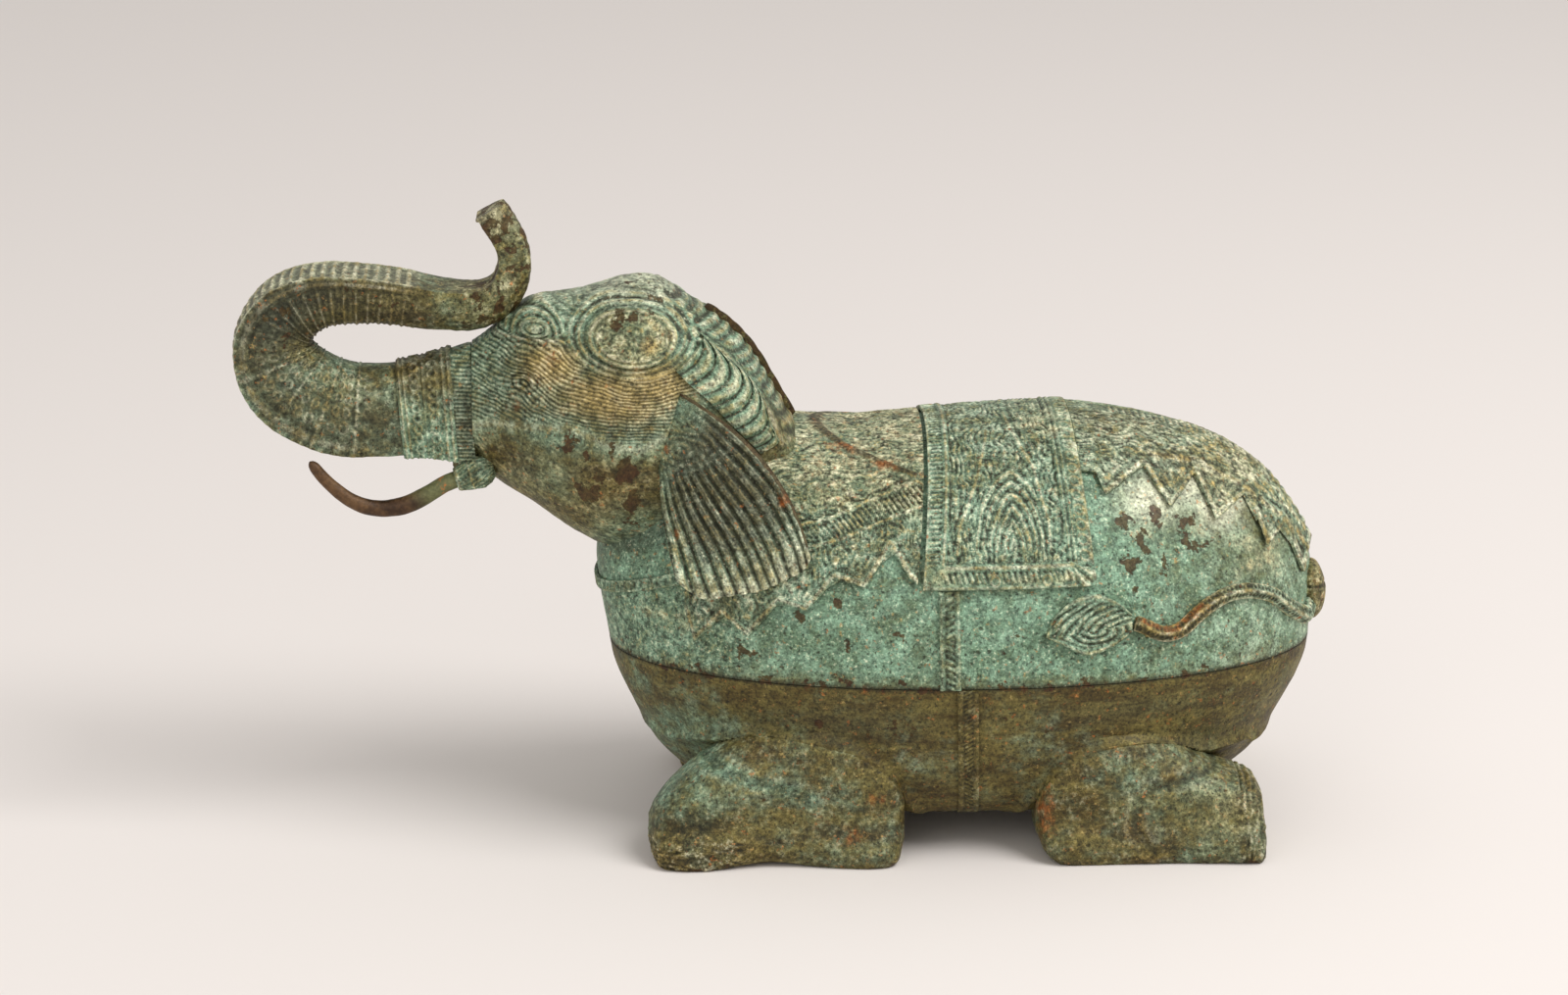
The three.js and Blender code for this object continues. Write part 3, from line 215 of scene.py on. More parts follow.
def build(name, body, replaced, points, faces, values, material, sharp=50):
    """One piece from points in millimetres, faces as arrays of corners, and values per point."""
    mesh = bpy.data.meshes.new(name)
    placed = (points + [SHIFT_X, 0, 0]) * MM
    corners = np.concatenate([f.ravel() for f in faces]).astype(np.int32)
    sizes = np.concatenate([np.full(len(f), f.shape[1]) for f in faces])
    mesh.vertices.add(len(placed))
    mesh.vertices.foreach_set("co", placed.astype(np.float32).ravel())
    mesh.loops.add(len(corners))
    mesh.loops.foreach_set("vertex_index", corners)
    mesh.polygons.add(len(sizes))
    mesh.polygons.foreach_set("loop_start", (np.cumsum(sizes) - sizes).astype(np.int32))
    mesh.update(calc_edges=True)
    mesh.validate()
    for key, value in values.items():
        attribute = mesh.attributes.new(key, "FLOAT", "POINT")
        attribute.data.foreach_set("value", np.broadcast_to(value, len(placed)).astype(np.float32).copy())
    mesh.shade_smooth()
    mesh.set_sharp_from_angle(angle=math.radians(sharp))
    piece = bpy.data.objects.new(name, mesh)
    bpy.context.scene.collection.objects.link(piece)
    mesh.materials.append(material)
    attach(piece, body)
    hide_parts(*replaced)
    return piece


def flat_values(values, shape):
    return {k: np.broadcast_to(v, shape).ravel() for k, v in values.items()}


def close_tube(rings, **finish):
    """A closed tube through rings of points, with a cap on each end."""
    rows, columns = rings.shape[:2]
    count = rows * columns
    points = np.concatenate([rings.reshape(-1, 3), rings[:1].mean(1), rings[-1:].mean(1)])
    j = np.arange(columns)
    k = (j + 1) % columns
    start = np.stack([k, j, np.full(columns, count)], -1)
    last = (rows - 1) * columns
    end = np.stack([last + j, last + k, np.full(columns, count + 1)], -1)
    flat = flat_values(paint(rings, **finish), (rows, columns))
    both = {key: np.concatenate([v, v[:1], v[-1:]]) for key, v in flat.items()}
    return points, [grid_faces(rows, columns, wrap=True), start, end], both


def face_out(points, faces):
    """Turns all faces over if the closed mesh has them facing in."""
    volume = 0
    for f in faces:
        a = points[f[:, 0]]
        for k in range(1, f.shape[1] - 1):
            volume += np.sum(a * np.cross(points[f[:, k]], points[f[:, k + 1]]))
    return faces if volume > 0 else [f[:, ::-1] for f in faces]


# Lid: a superellipse in plan under a crest line that runs from the chest over the back

# Rows: station, x as a share of the half length, height as a share of the lid's.
CREST = smooth_table([
    [0, -1, 0], [0.06, -1.022, 0.2], [0.11, -1.034, 0.38], [0.15, -1.02, 0.52],
    [0.2, -0.965, 0.7], [0.26, -0.86, 0.87], [0.33, -0.69, 0.95], [0.4, -0.49, 0.95],
    [0.46, -0.33, 0.937], [0.52, -0.16, 0.955], [0.58, 0.03, 0.983], [0.64, 0.21, 1],
    [0.7, 0.375, 0.985], [0.76, 0.55, 0.935], [0.82, 0.72, 0.85], [0.87, 0.85, 0.72],
    [0.91, 0.932, 0.565], [0.94, 0.99, 0.4], [0.97, 1.01, 0.19], [1, 1, 0],
])
# How late the sections lean over to the crest, and how square their arch is.
LID_LEAN = 1.5
LID_SQUARENESS = 0.92


def plan_point(station, half_length, half_width):
    angle = np.pi * (1 - station)
    exponent = 2 / PLAN_POWER
    return half_length * power(np.cos(angle), exponent), half_width * np.abs(np.sin(angle)) ** exponent


def crest_point(station, offset=0.0):
    step = 1e-3
    before, after = CREST(np.maximum(station - step, 0)), CREST(np.minimum(station + step, 1))
    dx, dz = (after[0] - before[0]) * HALF_LENGTH, (after[1] - before[1]) * LID_HEIGHT
    size = np.hypot(dx, dz)
    sx, sz = CREST(station)
    return sx * HALF_LENGTH - dz / size * offset, RIM_Z + sz * LID_HEIGHT + dx / size * offset


def lid_point(station, arch, offset=0.0):
    """Point of the lid's skin: arch 0 is the left rim, 0.5 the crest and 1 the right rim."""
    station, arch = np.broadcast_arrays(np.asarray(station, float), np.asarray(arch, float))
    rim_x, rim_y = plan_point(station, HALF_LENGTH + offset, HALF_WIDTH + offset)
    crest_x, crest_z = crest_point(station, offset)
    sine, cosine = np.abs(np.sin(np.pi * arch)), np.cos(np.pi * arch)
    x = lerp(rim_x, crest_x, sine**LID_LEAN)
    y = -rim_y * power(cosine, LID_SQUARENESS)
    z = RIM_Z + (crest_z - RIM_Z) * sine**LID_SQUARENESS
    return np.stack([x, y, z], -1)


# A chart of the lid's left flank: places are looked up by x and arch, or by x and z.
CHART_X = np.linspace(-146, 146, 500)
CHART_ARCH = np.linspace(0, 0.5, 201)


def make_chart():
    stations = np.linspace(0, 1, 700)
    place = np.empty((len(CHART_X), len(CHART_ARCH)))
    for j, arch in enumerate(CHART_ARCH):
        x = lid_point(stations, arch)[:, 0]
        rising = np.maximum.accumulate(x)
        place[:, j] = np.interp(CHART_X, rising, stations)
    points = lid_point(place, CHART_ARCH[None, :])
    step = np.linalg.norm(np.diff(points[:, :, 1:], axis=1), axis=-1)
    drop = np.concatenate([np.cumsum(step[:, ::-1], axis=1)[:, ::-1], np.zeros((len(CHART_X), 1))], 1)
    return place, points[..., 2], drop


CHART_STATION, CHART_Z, CHART_DROP = make_chart()


def chart_read(chart, x, arch):
    u = np.clip((x - CHART_X[0]) / (CHART_X[1] - CHART_X[0]), 0, len(CHART_X) - 1.001)
    v = np.clip(arch / CHART_ARCH[1], 0, len(CHART_ARCH) - 1.001)
    i, j = u.astype(int), v.astype(int)
    f, g = u - i, v - j
    return lerp(lerp(chart[i, j], chart[i + 1, j], f), lerp(chart[i, j + 1], chart[i + 1, j + 1], f), g)


def arch_where(chart, sign, x, level):
    """The arch on the left flank where a chart that rises with sign 1, falls with -1, has a level."""
    x, level = np.broadcast_arrays(np.asarray(x, float), np.asarray(level, float))
    none, half = np.zeros(x.shape), np.full(x.shape, 0.5)
    return sum(bisect(lambda arch: sign * chart_read(chart, x, arch) < sign * level, none, half)) / 2


def arch_at(x, z):
    """The arch on the left flank where the skin has this x and z."""
    return arch_where(CHART_Z, 1, x, z)


def arch_at_drop(x, drop):
    """The arch on the left flank at this distance down from the crest."""
    return arch_where(CHART_DROP, -1, x, drop)


def on_lid(x, arch, offset):
    """Point of the skin at an x and an arch, 0 to 1, with an offset off the skin."""
    left = np.minimum(arch, 1 - arch)
    station = chart_read(CHART_STATION, x, left)
    return lid_point(station, arch, offset)


# Head: shares along its length, of the half height above and below its axis, of half width

HEAD_SHAPE = smooth_table([
    [0, 0.53, 0.345, 0.4], [0.045, 0.605, 0.44, 0.47], [0.11, 0.745, 0.55, 0.6],
    [0.175, 0.85, 0.65, 0.715], [0.24, 0.875, 0.765, 0.81], [0.315, 0.9, 0.88, 0.885],
    [0.385, 0.935, 0.97, 0.945], [0.46, 0.99, 1.005, 0.99], [0.535, 1, 1, 1],
    [0.6, 0.94, 0.945, 0.99], [0.665, 0.82, 0.85, 0.965], [0.73, 0.725, 0.745, 0.935],
    [0.79, 0.605, 0.64, 0.895], [0.85, 0.43, 0.55, 0.84], [0.905, 0.2, 0.48, 0.765],
    [0.96, -0.03, 0.43, 0.66], [1, -0.18, 0.38, 0.55],
])
HEAD_SQUARENESS = 0.92


def head_frame(share, offset=0.0):
    above, below, wide = HEAD_SHAPE(share)
    top = HEAD_Z + above * HEAD_HALF_HEIGHT + offset
    bottom = HEAD_Z - below * HEAD_HALF_HEIGHT - offset
    return (top + bottom) / 2, (top - bottom) / 2, wide * HEAD_HALF_WIDTH + offset


def head_point(share, turn, offset=0.0):
    """Point of the head's skin. Turn 0 is the right side, 0.25 the top and 0.5 the left side."""
    middle, half_height, half_width = head_frame(share, offset)
    angle = 2 * np.pi * turn
    y = half_width * power(np.cos(angle), HEAD_SQUARENESS)
    z = middle + half_height * power(np.sin(angle), HEAD_SQUARENESS)
    x = MUZZLE_X + share * HEAD_LENGTH
    return np.stack(np.broadcast_arrays(x, y, z), -1)


def head_side(x, z, offset):
    share = np.clip((x - MUZZLE_X) / HEAD_LENGTH, 0, 1)
    middle, half_height, half_width = head_frame(share, offset)
    s = np.minimum(np.abs(z - middle) / half_height, 1) ** (1 / HEAD_SQUARENESS)
    return half_width * np.sqrt(1 - s * s) ** HEAD_SQUARENESS


def on_head(x, z, offset):
    """Point of the head's left side at an x and z."""
    return np.stack([x, -head_side(x, z, offset), z], -1)


def in_lid(points, offset):
    """Which points lie inside the lid's skin, with an offset off the skin."""
    x, y, z = points[..., 0], points[..., 1], points[..., 2]
    arch = arch_at(x, z)
    limit = np.abs(on_lid(x, arch, offset)[..., 1])
    crest = chart_read(CHART_Z, x, np.full(x.shape, 0.5)) + offset
    near = (x > CHART_X[0]) & (x < CHART_X[-1])
    return near & (z > RIM_Z) & (z < crest) & (np.abs(y) < limit)


def press_into_wall(points, centre, depth=1.5):
    """Moves the points that are inside the lid out from a centre until they are in its wall."""
    inside = in_lid(points, -depth)
    ray = points[inside] - centre
    stretch = bisect(
        lambda k: in_lid(centre + ray * k[:, None], -depth), np.ones(len(ray)), np.full(len(ray), 8.0), 20)[0]
    moved = points.copy()
    moved[inside] = centre + ray * stretch[:, None]
    return moved


# Bowl

# Rows: share of the depth below the seam, share of the rim's outline.
BOWL = smooth_table([
    [0, 1], [0.12, 0.991], [0.27, 0.967], [0.48, 0.922], [0.7, 0.868],
    [0.85, 0.8], [0.95, 0.72], [1, 0.58],
])
PLAN_COUNT = 420


def plan_ring(half_length, half_width, z):
    angle = 2 * np.pi * np.arange(PLAN_COUNT) / PLAN_COUNT
    x, y = (half * power(turn(angle), 2 / PLAN_POWER) for half, turn in (
        (half_length, np.cos), (half_width, np.sin)))
    return np.stack([x, y, np.full(PLAN_COUNT, float(z))], -1)


def bowl_share(z):
    return BOWL(np.clip((SEAM_Z - z) / (SEAM_Z - BELLY_Z), 0, 1))[0]


def bowl_ring(depth, offset=0.0):
    share = BOWL(depth)[0]
    z = SEAM_Z - depth * (SEAM_Z - BELLY_Z)
    return plan_ring(HALF_LENGTH * share + offset, HALF_WIDTH * share + offset, z)


def bowl_side(x, z, offset):
    """Half width of the bowl at an x and z."""
    share = bowl_share(z)
    f = np.clip(np.abs(x) / (HALF_LENGTH * share + offset), 0, 1)
    return (HALF_WIDTH * share + offset) * (1 - f**PLAN_POWER) ** (1 / PLAN_POWER)


def press_into_bowl(points, depth):
    """Moves the points that are inside the bowl out into its wall or down into its floor."""
    x, y, z = np.moveaxis(points, -1, 0)
    share, floor = bowl_share(z), BOWL(1.0)[0]

    def reach(s):
        a, b = HALF_LENGTH * s - depth, HALF_WIDTH * s - depth
        return ((np.abs(x) / a) ** PLAN_POWER + (np.abs(y) / b) ** PLAN_POWER) ** (1 / PLAN_POWER)

    inside = (z > BELLY_Z + 1) & (reach(share) < 1)
    down = inside & (reach(floor) < 1)
    out = inside & ~down
    scale = np.where(out, 1 / np.maximum(reach(share), 1e-6), 1)
    return np.stack([x * scale, y * scale, np.where(down, BELLY_Z + 1, z)], -1)


# Trunk

# Rows: share of the course, reach before the muzzle, rise over the root, thickness, width.
TRUNK = smooth_table([
    [0, 0, 0, 1, 1], [0.05, 0.24, -0.03, 0.8, 0.97], [0.1, 0.44, -0.06, 0.755, 0.96],
    [0.16, 0.655, -0.04, 0.77, 0.96], [0.22, 0.84, 0.095, 0.775, 0.96],
    [0.28, 0.96, 0.3, 0.745, 0.96], [0.345, 1, 0.58, 0.67, 0.94], [0.41, 0.93, 0.825, 0.61, 0.92],
    [0.475, 0.77, 0.97, 0.52, 0.9], [0.54, 0.56, 0.985, 0.46, 0.88], [0.6, 0.37, 0.95, 0.435, 0.86],
    [0.68, 0.15, 0.885, 0.4, 0.82], [0.75, -0.04, 0.885, 0.38, 0.72],
    [0.81, -0.17, 1.005, 0.335, 0.6], [0.87, -0.228, 1.26, 0.285, 0.51],
    [0.93, -0.205, 1.5, 0.28, 0.46], [1, -0.112, 1.8, 0.29, 0.43],
])


def trunk_axis(share):
    forward, rise = TRUNK(share)[:2]
    return MUZZLE_X - GAP - forward * TRUNK_REACH, ROOT_Z + rise * TRUNK_RISE


def trunk_rings(shares, offset, face, rounded):
    """Rings of the trunk and the place round the section: -1 to 1 on the face, beyond on the rest."""
    step = 2e-3
    x, z = trunk_axis(shares)
    bx, bz = trunk_axis(np.maximum(shares - step, 0))
    ax, az = trunk_axis(np.minimum(shares + step, 1))
    size = np.hypot(ax - bx, az - bz)
    ux, uz = (ax - bx) / size, (az - bz) / size
    ux, uz = np.where(shares == 0, -1, ux), np.where(shares == 0, 0, uz)
    thick, wide = TRUNK(shares)[2:]
    half_thick = (thick * TRUNK_THICKNESS / 2 + offset)[:, None]
    half_wide = (wide * TRUNK_WIDTH / 2 + offset)[:, None]
    edge = 0.93 * half_thick
    side = np.linspace(-1, 1, face, endpoint=False)
    face_out_by = edge + (half_thick - edge) * (1 - side**2)
    angle = np.pi * np.arange(rounded) / rounded
    round_side = power(np.cos(angle), 0.8)
    round_out = edge - (edge + half_thick) * np.sin(angle) ** 0.9
    outs = np.concatenate([face_out_by, np.broadcast_to(round_out, (len(shares), rounded))], 1)
    sides = np.concatenate([side, round_side])[None, :] * half_wide
    place = np.concatenate([side, 1 + angle / np.pi * 2])
    points = np.stack([x[:, None] - uz[:, None] * outs, sides, z[:, None] + ux[:, None] * outs], -1)
    return points, place


# Ear

EAR_ROOT_X = MUZZLE_X + 0.66 * HEAD_LENGTH
EAR_ROOT_Z = HEAD_Z + 17.5
EAR_SPREAD = 54
EAR_DROP = 82
EAR_FLUTES = 12
EAR_THICKNESS = 2.2
# Rows: place in the fan, then x and z of the root line and of the rim.
EAR_SHAPE = smooth_table([
    [0, -0.267, -0.348, -0.15, -0.87], [0.12, -0.247, -0.305, 0.03, -0.954],
    [0.3, -0.217, -0.24, 0.27, -0.944], [0.5, -0.184, -0.168, 0.49, -0.917],
    [0.7, -0.15, -0.096, 0.66, -0.866], [0.85, -0.125, -0.042, 0.8, -0.815],
    [1, -0.1, 0.012, 0.859, -0.751],
])


def ear_point(fan, along):
    """Point of the left ear's middle: fan 0 is its front edge, along 0 its root and 1 its hem."""
    root_x, root_z, rim_x, rim_z = EAR_SHAPE(fan)
    root_x, root_z = EAR_ROOT_X + EAR_SPREAD * root_x, EAR_ROOT_Z + EAR_DROP * root_z
    bow = 4 * along * (1 - along) * EAR_SPREAD * (0.19 * fan * fan - 0.03 * (1 - fan))
    x = lerp(root_x, EAR_ROOT_X + EAR_SPREAD * rim_x, along) + bow * 0.85
    z = lerp(root_z, EAR_ROOT_Z + EAR_DROP * rim_z, along) + bow * 0.5
    root_y = head_side(root_x, root_z, 0) - EAR_THICKNESS / 2
    rim_y = HALF_WIDTH - 15 + 3 * fan
    return np.stack([x, -lerp(root_y, rim_y, along**0.8), z], -1)


# Legs

# Rows: place along the leg, inner side, outer side, underside, top.
FRONT_LEG = smooth_table([
    [0, 0.5, 0.62, 0.2, 0.4], [0.03, 0.3, 0.86, 0.05, 0.54], [0.1, 0.12, 0.97, 0, 0.72],
    [0.22, 0.04, 1, 0, 0.96], [0.36, 0, 0.98, 0.05, 1.16], [0.5, 0, 0.94, 0.07, 1.26],
    [0.64, 0, 0.96, 0.03, 1.28], [0.78, 0, 1, 0, 1.22], [0.9, 0.04, 1, 0, 1.02],
    [0.97, 0.14, 0.94, 0.05, 0.84], [1, 0.3, 0.8, 0.2, 0.66],
])
REAR_LEG = smooth_table([
    [0, 0.3, 0.8, 0.28, 0.68], [0.03, 0.14, 0.93, 0.14, 0.86], [0.1, 0.04, 0.99, 0.02, 1.08],
    [0.22, 0, 1, 0, 1.26], [0.4, 0, 0.99, 0, 1.32], [0.6, 0, 0.98, 0, 1.18], [0.8, 0, 1, 0, 0.92],
    [0.94, 0.02, 1, 0, 0.79], [0.985, 0.05, 0.98, 0, 0.7], [1, 0.09, 0.94, 0.03, 0.6],
])
LEG_WIDTH = 44
LEG_OUTER = HALF_WIDTH - 4
SOLE_FLATNESS = 1.12
FRONT_FROM = -HALF_LENGTH + 15
FRONT_TO = FRONT_FROM + 105
REAR_TO = HALF_LENGTH - 26.5
REAR_FROM = REAR_TO - 94
FRONT_HEIGHT = 44
REAR_HEIGHT = 40
TUCK = 13
MERGE = 18


def leg_section(shape, shares):
    inner, outer, low, high = shape(shares)
    inner_y, outer_y = (LEG_OUTER - (1 - v) * LEG_WIDTH for v in (inner, outer))
    return (inner_y + outer_y) / 2, (outer_y - inner_y) / 2, (low + high) / 2, (high - low) / 2


def sole_flare(z, side):
    return 8.5 * np.maximum(1 - z / 18, 0) * np.maximum(side, 0)


def leg_rings(shape, shares, from_x, to_x, height, count=120):
    """Rings of a left leg, and how far each point is to its outer side, -1 to 1."""
    middle_y, half_y, middle, half = (v[:, None] for v in leg_section(shape, shares))
    angle = (2 * np.pi * (np.arange(count) + 0.5) / count)[None, :]
    s, c = np.sin(angle), np.cos(angle)
    rise = np.where(s < 0, -SOLE_FLATNESS * np.abs(s) ** 0.5, np.abs(s) ** 0.85)
    side = np.where(s < 0, power(c, 0.45), power(c, 0.8))
    z = np.maximum((middle + half * rise) * height, 0)
    y = -middle_y - half_y * side - sole_flare(z, side)
    x = np.broadcast_to(lerp(from_x, to_x, shares)[:, None], z.shape)
    return np.stack([x, y, z], -1), side


def leg_side(shape, x, z, from_x, to_x, height):
    """Half width at a leg's outer side. It falls away past the leg's ends and above its top."""
    share = np.clip((x - from_x) / (to_x - from_x), 0, 1)
    middle_y, half_y, middle, half = leg_section(shape, share)
    rise = (z / height - middle) / half
    sine = np.where(rise < 0, (np.abs(rise) / SOLE_FLATNESS) ** 2, np.maximum(rise, 0) ** (1 / 0.85))
    side = np.sqrt(np.clip(1 - sine * sine, 0, 1)) ** np.where(rise < 0, 0.45, 0.8)
    past = np.maximum(rise - 1, 0) * half * height + np.maximum(from_x - x, 0) + np.maximum(x - to_x, 0)
    return middle_y + half_y * side + sole_flare(z, side) - 2 * past


def merge_swell(x, z, tuck):
    """How far bowl and leg swell out together where their sides meet."""
    front = leg_side(FRONT_LEG, x, z, FRONT_FROM + tuck, FRONT_TO, FRONT_HEIGHT)
    rear = leg_side(REAR_LEG, x, z, REAR_FROM, REAR_TO, REAR_HEIGHT)
    apart = np.abs(bowl_side(x, z, 0) - np.maximum(front, rear))
    return MERGE / 4 * np.clip(1 - apart / MERGE, 0, 1) ** 2


# Bars along a course

def bar_rings(course, radii, count):
    """Round sections along a course."""
    course = np.asarray(course, float)
    along = np.gradient(course, axis=0)
    along /= np.linalg.norm(along, axis=1, keepdims=True)
    across = np.cross([0, 1, 0], along)
    across /= np.linalg.norm(across, axis=1, keepdims=True)
    up = np.cross(along, across)
    angle = 2 * np.pi * np.arange(count) / count
    radius = np.asarray(radii, float)[:, None, None]
    round_ring = across[:, None] * np.cos(angle)[:, None] + up[:, None] * np.sin(angle)[:, None]
    return course[:, None] + round_ring * radius


def smooth_course(points, count):
    points = np.asarray(points, float)
    travelled = np.concatenate([[0], np.cumsum(np.linalg.norm(np.diff(points, axis=0), axis=1))])
    rows = np.concatenate([travelled[:, None] / travelled[-1], points], 1)
    return np.stack(smooth_table(rows)(np.linspace(0, 1, count)), -1)


# Finish: one procedural patina, driven by values on the points

def srgb(r, g, b):
    return tuple(((c / 255 + 0.055) / 1.055) ** 2.4 for c in (r, g, b)) + (1.0,)


class Shader:
    """A small writer of node trees."""

    def __init__(self, name):
        self.material = bpy.data.materials.new(name)
        self.material.use_nodes = True
        self.tree = self.material.node_tree
        self.tree.nodes.clear()
        self.place = self.node("ShaderNodeTexCoord").outputs["Object"]

    def node(self, kind, **settings):
        made = self.tree.nodes.new(kind)
        for key, value in settings.items():
            setattr(made, key, value)
        return made

    def join(self, socket, value):
        if isinstance(value, bpy.types.NodeSocket):
            self.tree.links.new(value, socket)
        else:
            socket.default_value = value

    def value(self, name):
        return self.node("ShaderNodeAttribute", attribute_name=name).outputs["Fac"]

    def math(self, operation, a, b=0.0, c=0.0):
        made = self.node("ShaderNodeMath", operation=operation)
        for socket, value in zip(made.inputs, (a, b, c)):
            self.join(socket, value)
        return made.outputs[0]

    def times(self, a, b):
        return self.math("MULTIPLY", a, b)

    def plus(self, a, b):
        return self.math("ADD", a, b)

    def about(self, value, noise, spread):
        """A value with noise laid round it."""
        return self.plus(value, self.math("MULTIPLY_ADD", noise, spread, -spread / 2))

    def ramp(self, value, low, high, to_low=0.0, to_high=1.0):
        made = self.node("ShaderNodeMapRange", interpolation_type="SMOOTHSTEP")
        for socket, entry in zip(made.inputs, (value, low, high, to_low, to_high)):
            self.join(socket, entry)
        return made.outputs["Result"]

    def mix(self, factor, a, b, blend="MIX"):
        made = self.node("ShaderNodeMix", data_type="RGBA", blend_type=blend)
        self.join(made.inputs[0], factor)
        self.join(made.inputs[6], a)
        self.join(made.inputs[7], b)
        return made.outputs[2]

    def noise(self, size_mm, detail=3.0, rough=0.6, stretch=(1, 1, 1), move=(0, 0, 0)):
        mapping = self.node("ShaderNodeMapping")
        self.join(mapping.inputs["Vector"], self.place)
        mapping.inputs["Scale"].default_value = stretch
        mapping.inputs["Location"].default_value = move
        made = self.node("ShaderNodeTexNoise")
        self.join(made.inputs["Vector"], mapping.outputs[0])
        made.inputs["Scale"].default_value = 1000 / size_mm
        made.inputs["Detail"].default_value = detail
        made.inputs["Roughness"].default_value = rough
        return made.outputs["Fac"]

    def cells(self, size_mm):
        made = self.node("ShaderNodeTexVoronoi", feature="F1")
        self.join(made.inputs["Vector"], self.place)
        made.inputs["Scale"].default_value = 1000 / size_mm
        return made.outputs["Distance"]

    def finish(self, colour, roughness, metallic, height=None, depth_mm=0.3):
        shader = self.node("ShaderNodeBsdfPrincipled")
        shader.inputs["Specular IOR Level"].default_value = 0.3
        self.join(shader.inputs["Base Color"], colour)
        self.join(shader.inputs["Roughness"], roughness)
        self.join(shader.inputs["Metallic"], metallic)
        if height is not None:
            bump = self.node("ShaderNodeBump")
            bump.inputs["Strength"].default_value = 1.0
            bump.inputs["Distance"].default_value = depth_mm * MM
            self.join(bump.inputs["Height"], height)
            self.join(shader.inputs["Normal"], bump.outputs[0])
        output = self.node("ShaderNodeOutputMaterial")
        self.join(output.inputs["Surface"], shader.outputs[0])
        return self.material


TEAL = srgb(93, 119, 93)
TEAL_LIGHT = srgb(134, 167, 141)
OLIVE = srgb(107, 97, 51)
OLIVE_DARK = srgb(71, 58, 25)
OCHRE = srgb(172, 150, 92)
PALE = srgb(222, 218, 188)
RECESS = srgb(44, 43, 24)
CHARCOAL = srgb(62, 66, 50)
FLAKE = srgb(66, 41, 20)
RUST = srgb(176, 98, 40)


def patina():
    s = Shader("patina")
    broad = s.noise(34, 4, 0.62)
    medium = s.noise(9, 5, 0.7, move=(0.3, 0.1, 0.7))
    fine = s.noise(2.6, 3, 0.75, move=(0.9, 0.4, 0.2))
    grain = s.noise(1.2, 2, 0.75, move=(0.4, 0.7, 0.1))
    streak = s.noise(10, 5, 0.7, stretch=(0.3, 1, 1.8), move=(0.2, 0.8, 0.5))
    olive = s.mix(s.ramp(streak, 0.34, 0.66), OLIVE_DARK, OLIVE)
    teal = s.mix(s.ramp(medium, 0.33, 0.7), TEAL, TEAL_LIGHT)
    tealness = s.about(s.about(s.value("teal"), broad, 0.8), medium, 0.7)
    colour = s.mix(s.ramp(tealness, 0.08, 0.82), olive, teal)
    colour = s.mix(s.ramp(s.about(s.value("ochre"), medium, 1.6), 0.35, 0.95), colour, OCHRE)
    # Pale from real wear, and from painted highlights where light falls on tops and where the lamp's sheen
    # shows.
    wear = s.ramp(s.about(s.value("wear"), medium, 0.9), 0.18, 1.1)
    colour = s.mix(s.times(wear, 0.8), colour, PALE)
    # Charcoal from dark: darker bronze, as on the ears and mane, and painted shade in the crease under the
    # jaw, under the trunk's loop and on the collar's upper side.
    colour = s.mix(s.times(s.value("dark"), 0.85), colour, CHARCOAL)
    relief, carve = s.value("relief"), s.value("carve")
    lines = s.math("SINE", s.times(s.about(s.value("comb"), fine, 0.5), 2 * math.pi))
    combed = s.times(lines, s.value("comb_amp"))
    crest = s.plus(s.ramp(relief, 0.0, 1.0, 0, 0.55), s.times(s.ramp(fine, 0.5, 0.68, 0, 0.5), carve))
    crest = s.plus(crest, s.ramp(combed, 0.1, 1.0, 0, 0.3))
    crest = s.times(crest, s.ramp(s.value("dark"), 0, 1, 1, 0.4))
    colour = s.mix(crest, colour, s.mix(s.ramp(medium, 0.4, 0.6), OCHRE, PALE))
    recess = s.plus(s.ramp(relief, 0.0, -1.0, 0, 0.86), s.times(s.ramp(fine, 0.5, 0.34, 0, 0.75), carve))
    recess = s.plus(recess, s.ramp(combed, -0.1, -1.0, 0, 0.6))
    colour = s.mix(s.math("MINIMUM", recess, 0.9), colour, RECESS)
    pits = s.times(s.ramp(s.cells(4.6), 0.24, 0.1), s.ramp(s.noise(21, 3, 0.6), 0.48, 0.6))
    specks = s.ramp(grain, 0.42, 0.3, 0, 0.8)
    colour = s.mix(s.math("MAXIMUM", s.times(pits, 0.75), specks), colour, RECESS)
    colour = s.mix(s.times(s.ramp(grain, 0.58, 0.72, 0, 0.5), s.ramp(tealness, 0.3, 0.8)), colour, PALE)
    flecks = s.ramp(s.noise(2.4, 3, 0.7, move=(0.5, 0.2, 0.6)), 0.6, 0.72, 0, 0.7)
    colour = s.mix(flecks, colour, s.mix(s.ramp(medium, 0.42, 0.56), OCHRE, RUST))
    flaked = s.ramp(s.about(s.value("flake"), s.noise(6, 5, 0.62, move=(0.1, 0.6, 0.9)), 1.7), 0.46, 0.52)
    colour = s.mix(s.times(flaked, 0.92), colour, s.mix(s.ramp(medium, 0.35, 0.65), FLAKE, OLIVE_DARK))
    rusty = s.ramp(s.about(s.value("rust"), s.noise(4, 4, 0.7, move=(0.7, 0.2, 0.5)), 1.5), 0.32, 1.0)
    colour = s.mix(s.times(rusty, 0.85), colour, RUST)
    colour = s.mix(1.0, colour, s.ramp(fine, 0.3, 0.7, 0.62, 1.42), "MULTIPLY")
    colour = s.mix(1.0, colour, s.ramp(grain, 0.3, 0.7, 0.7, 1.28), "MULTIPLY")
    roughness = s.plus(s.ramp(medium, 0.3, 0.7, 0.48, 0.66), s.times(wear, -0.14))
    height = s.plus(s.times(combed, 0.5), s.times(fine, s.math("MULTIPLY_ADD", carve, 1.2, 0.9)))
    height = s.plus(height, s.times(grain, 0.6))
    height = s.math("SUBTRACT", height, s.plus(s.times(pits, 0.8), s.times(flaked, 0.45)))
    return s.finish(colour, roughness, 0.12, height, 0.42)


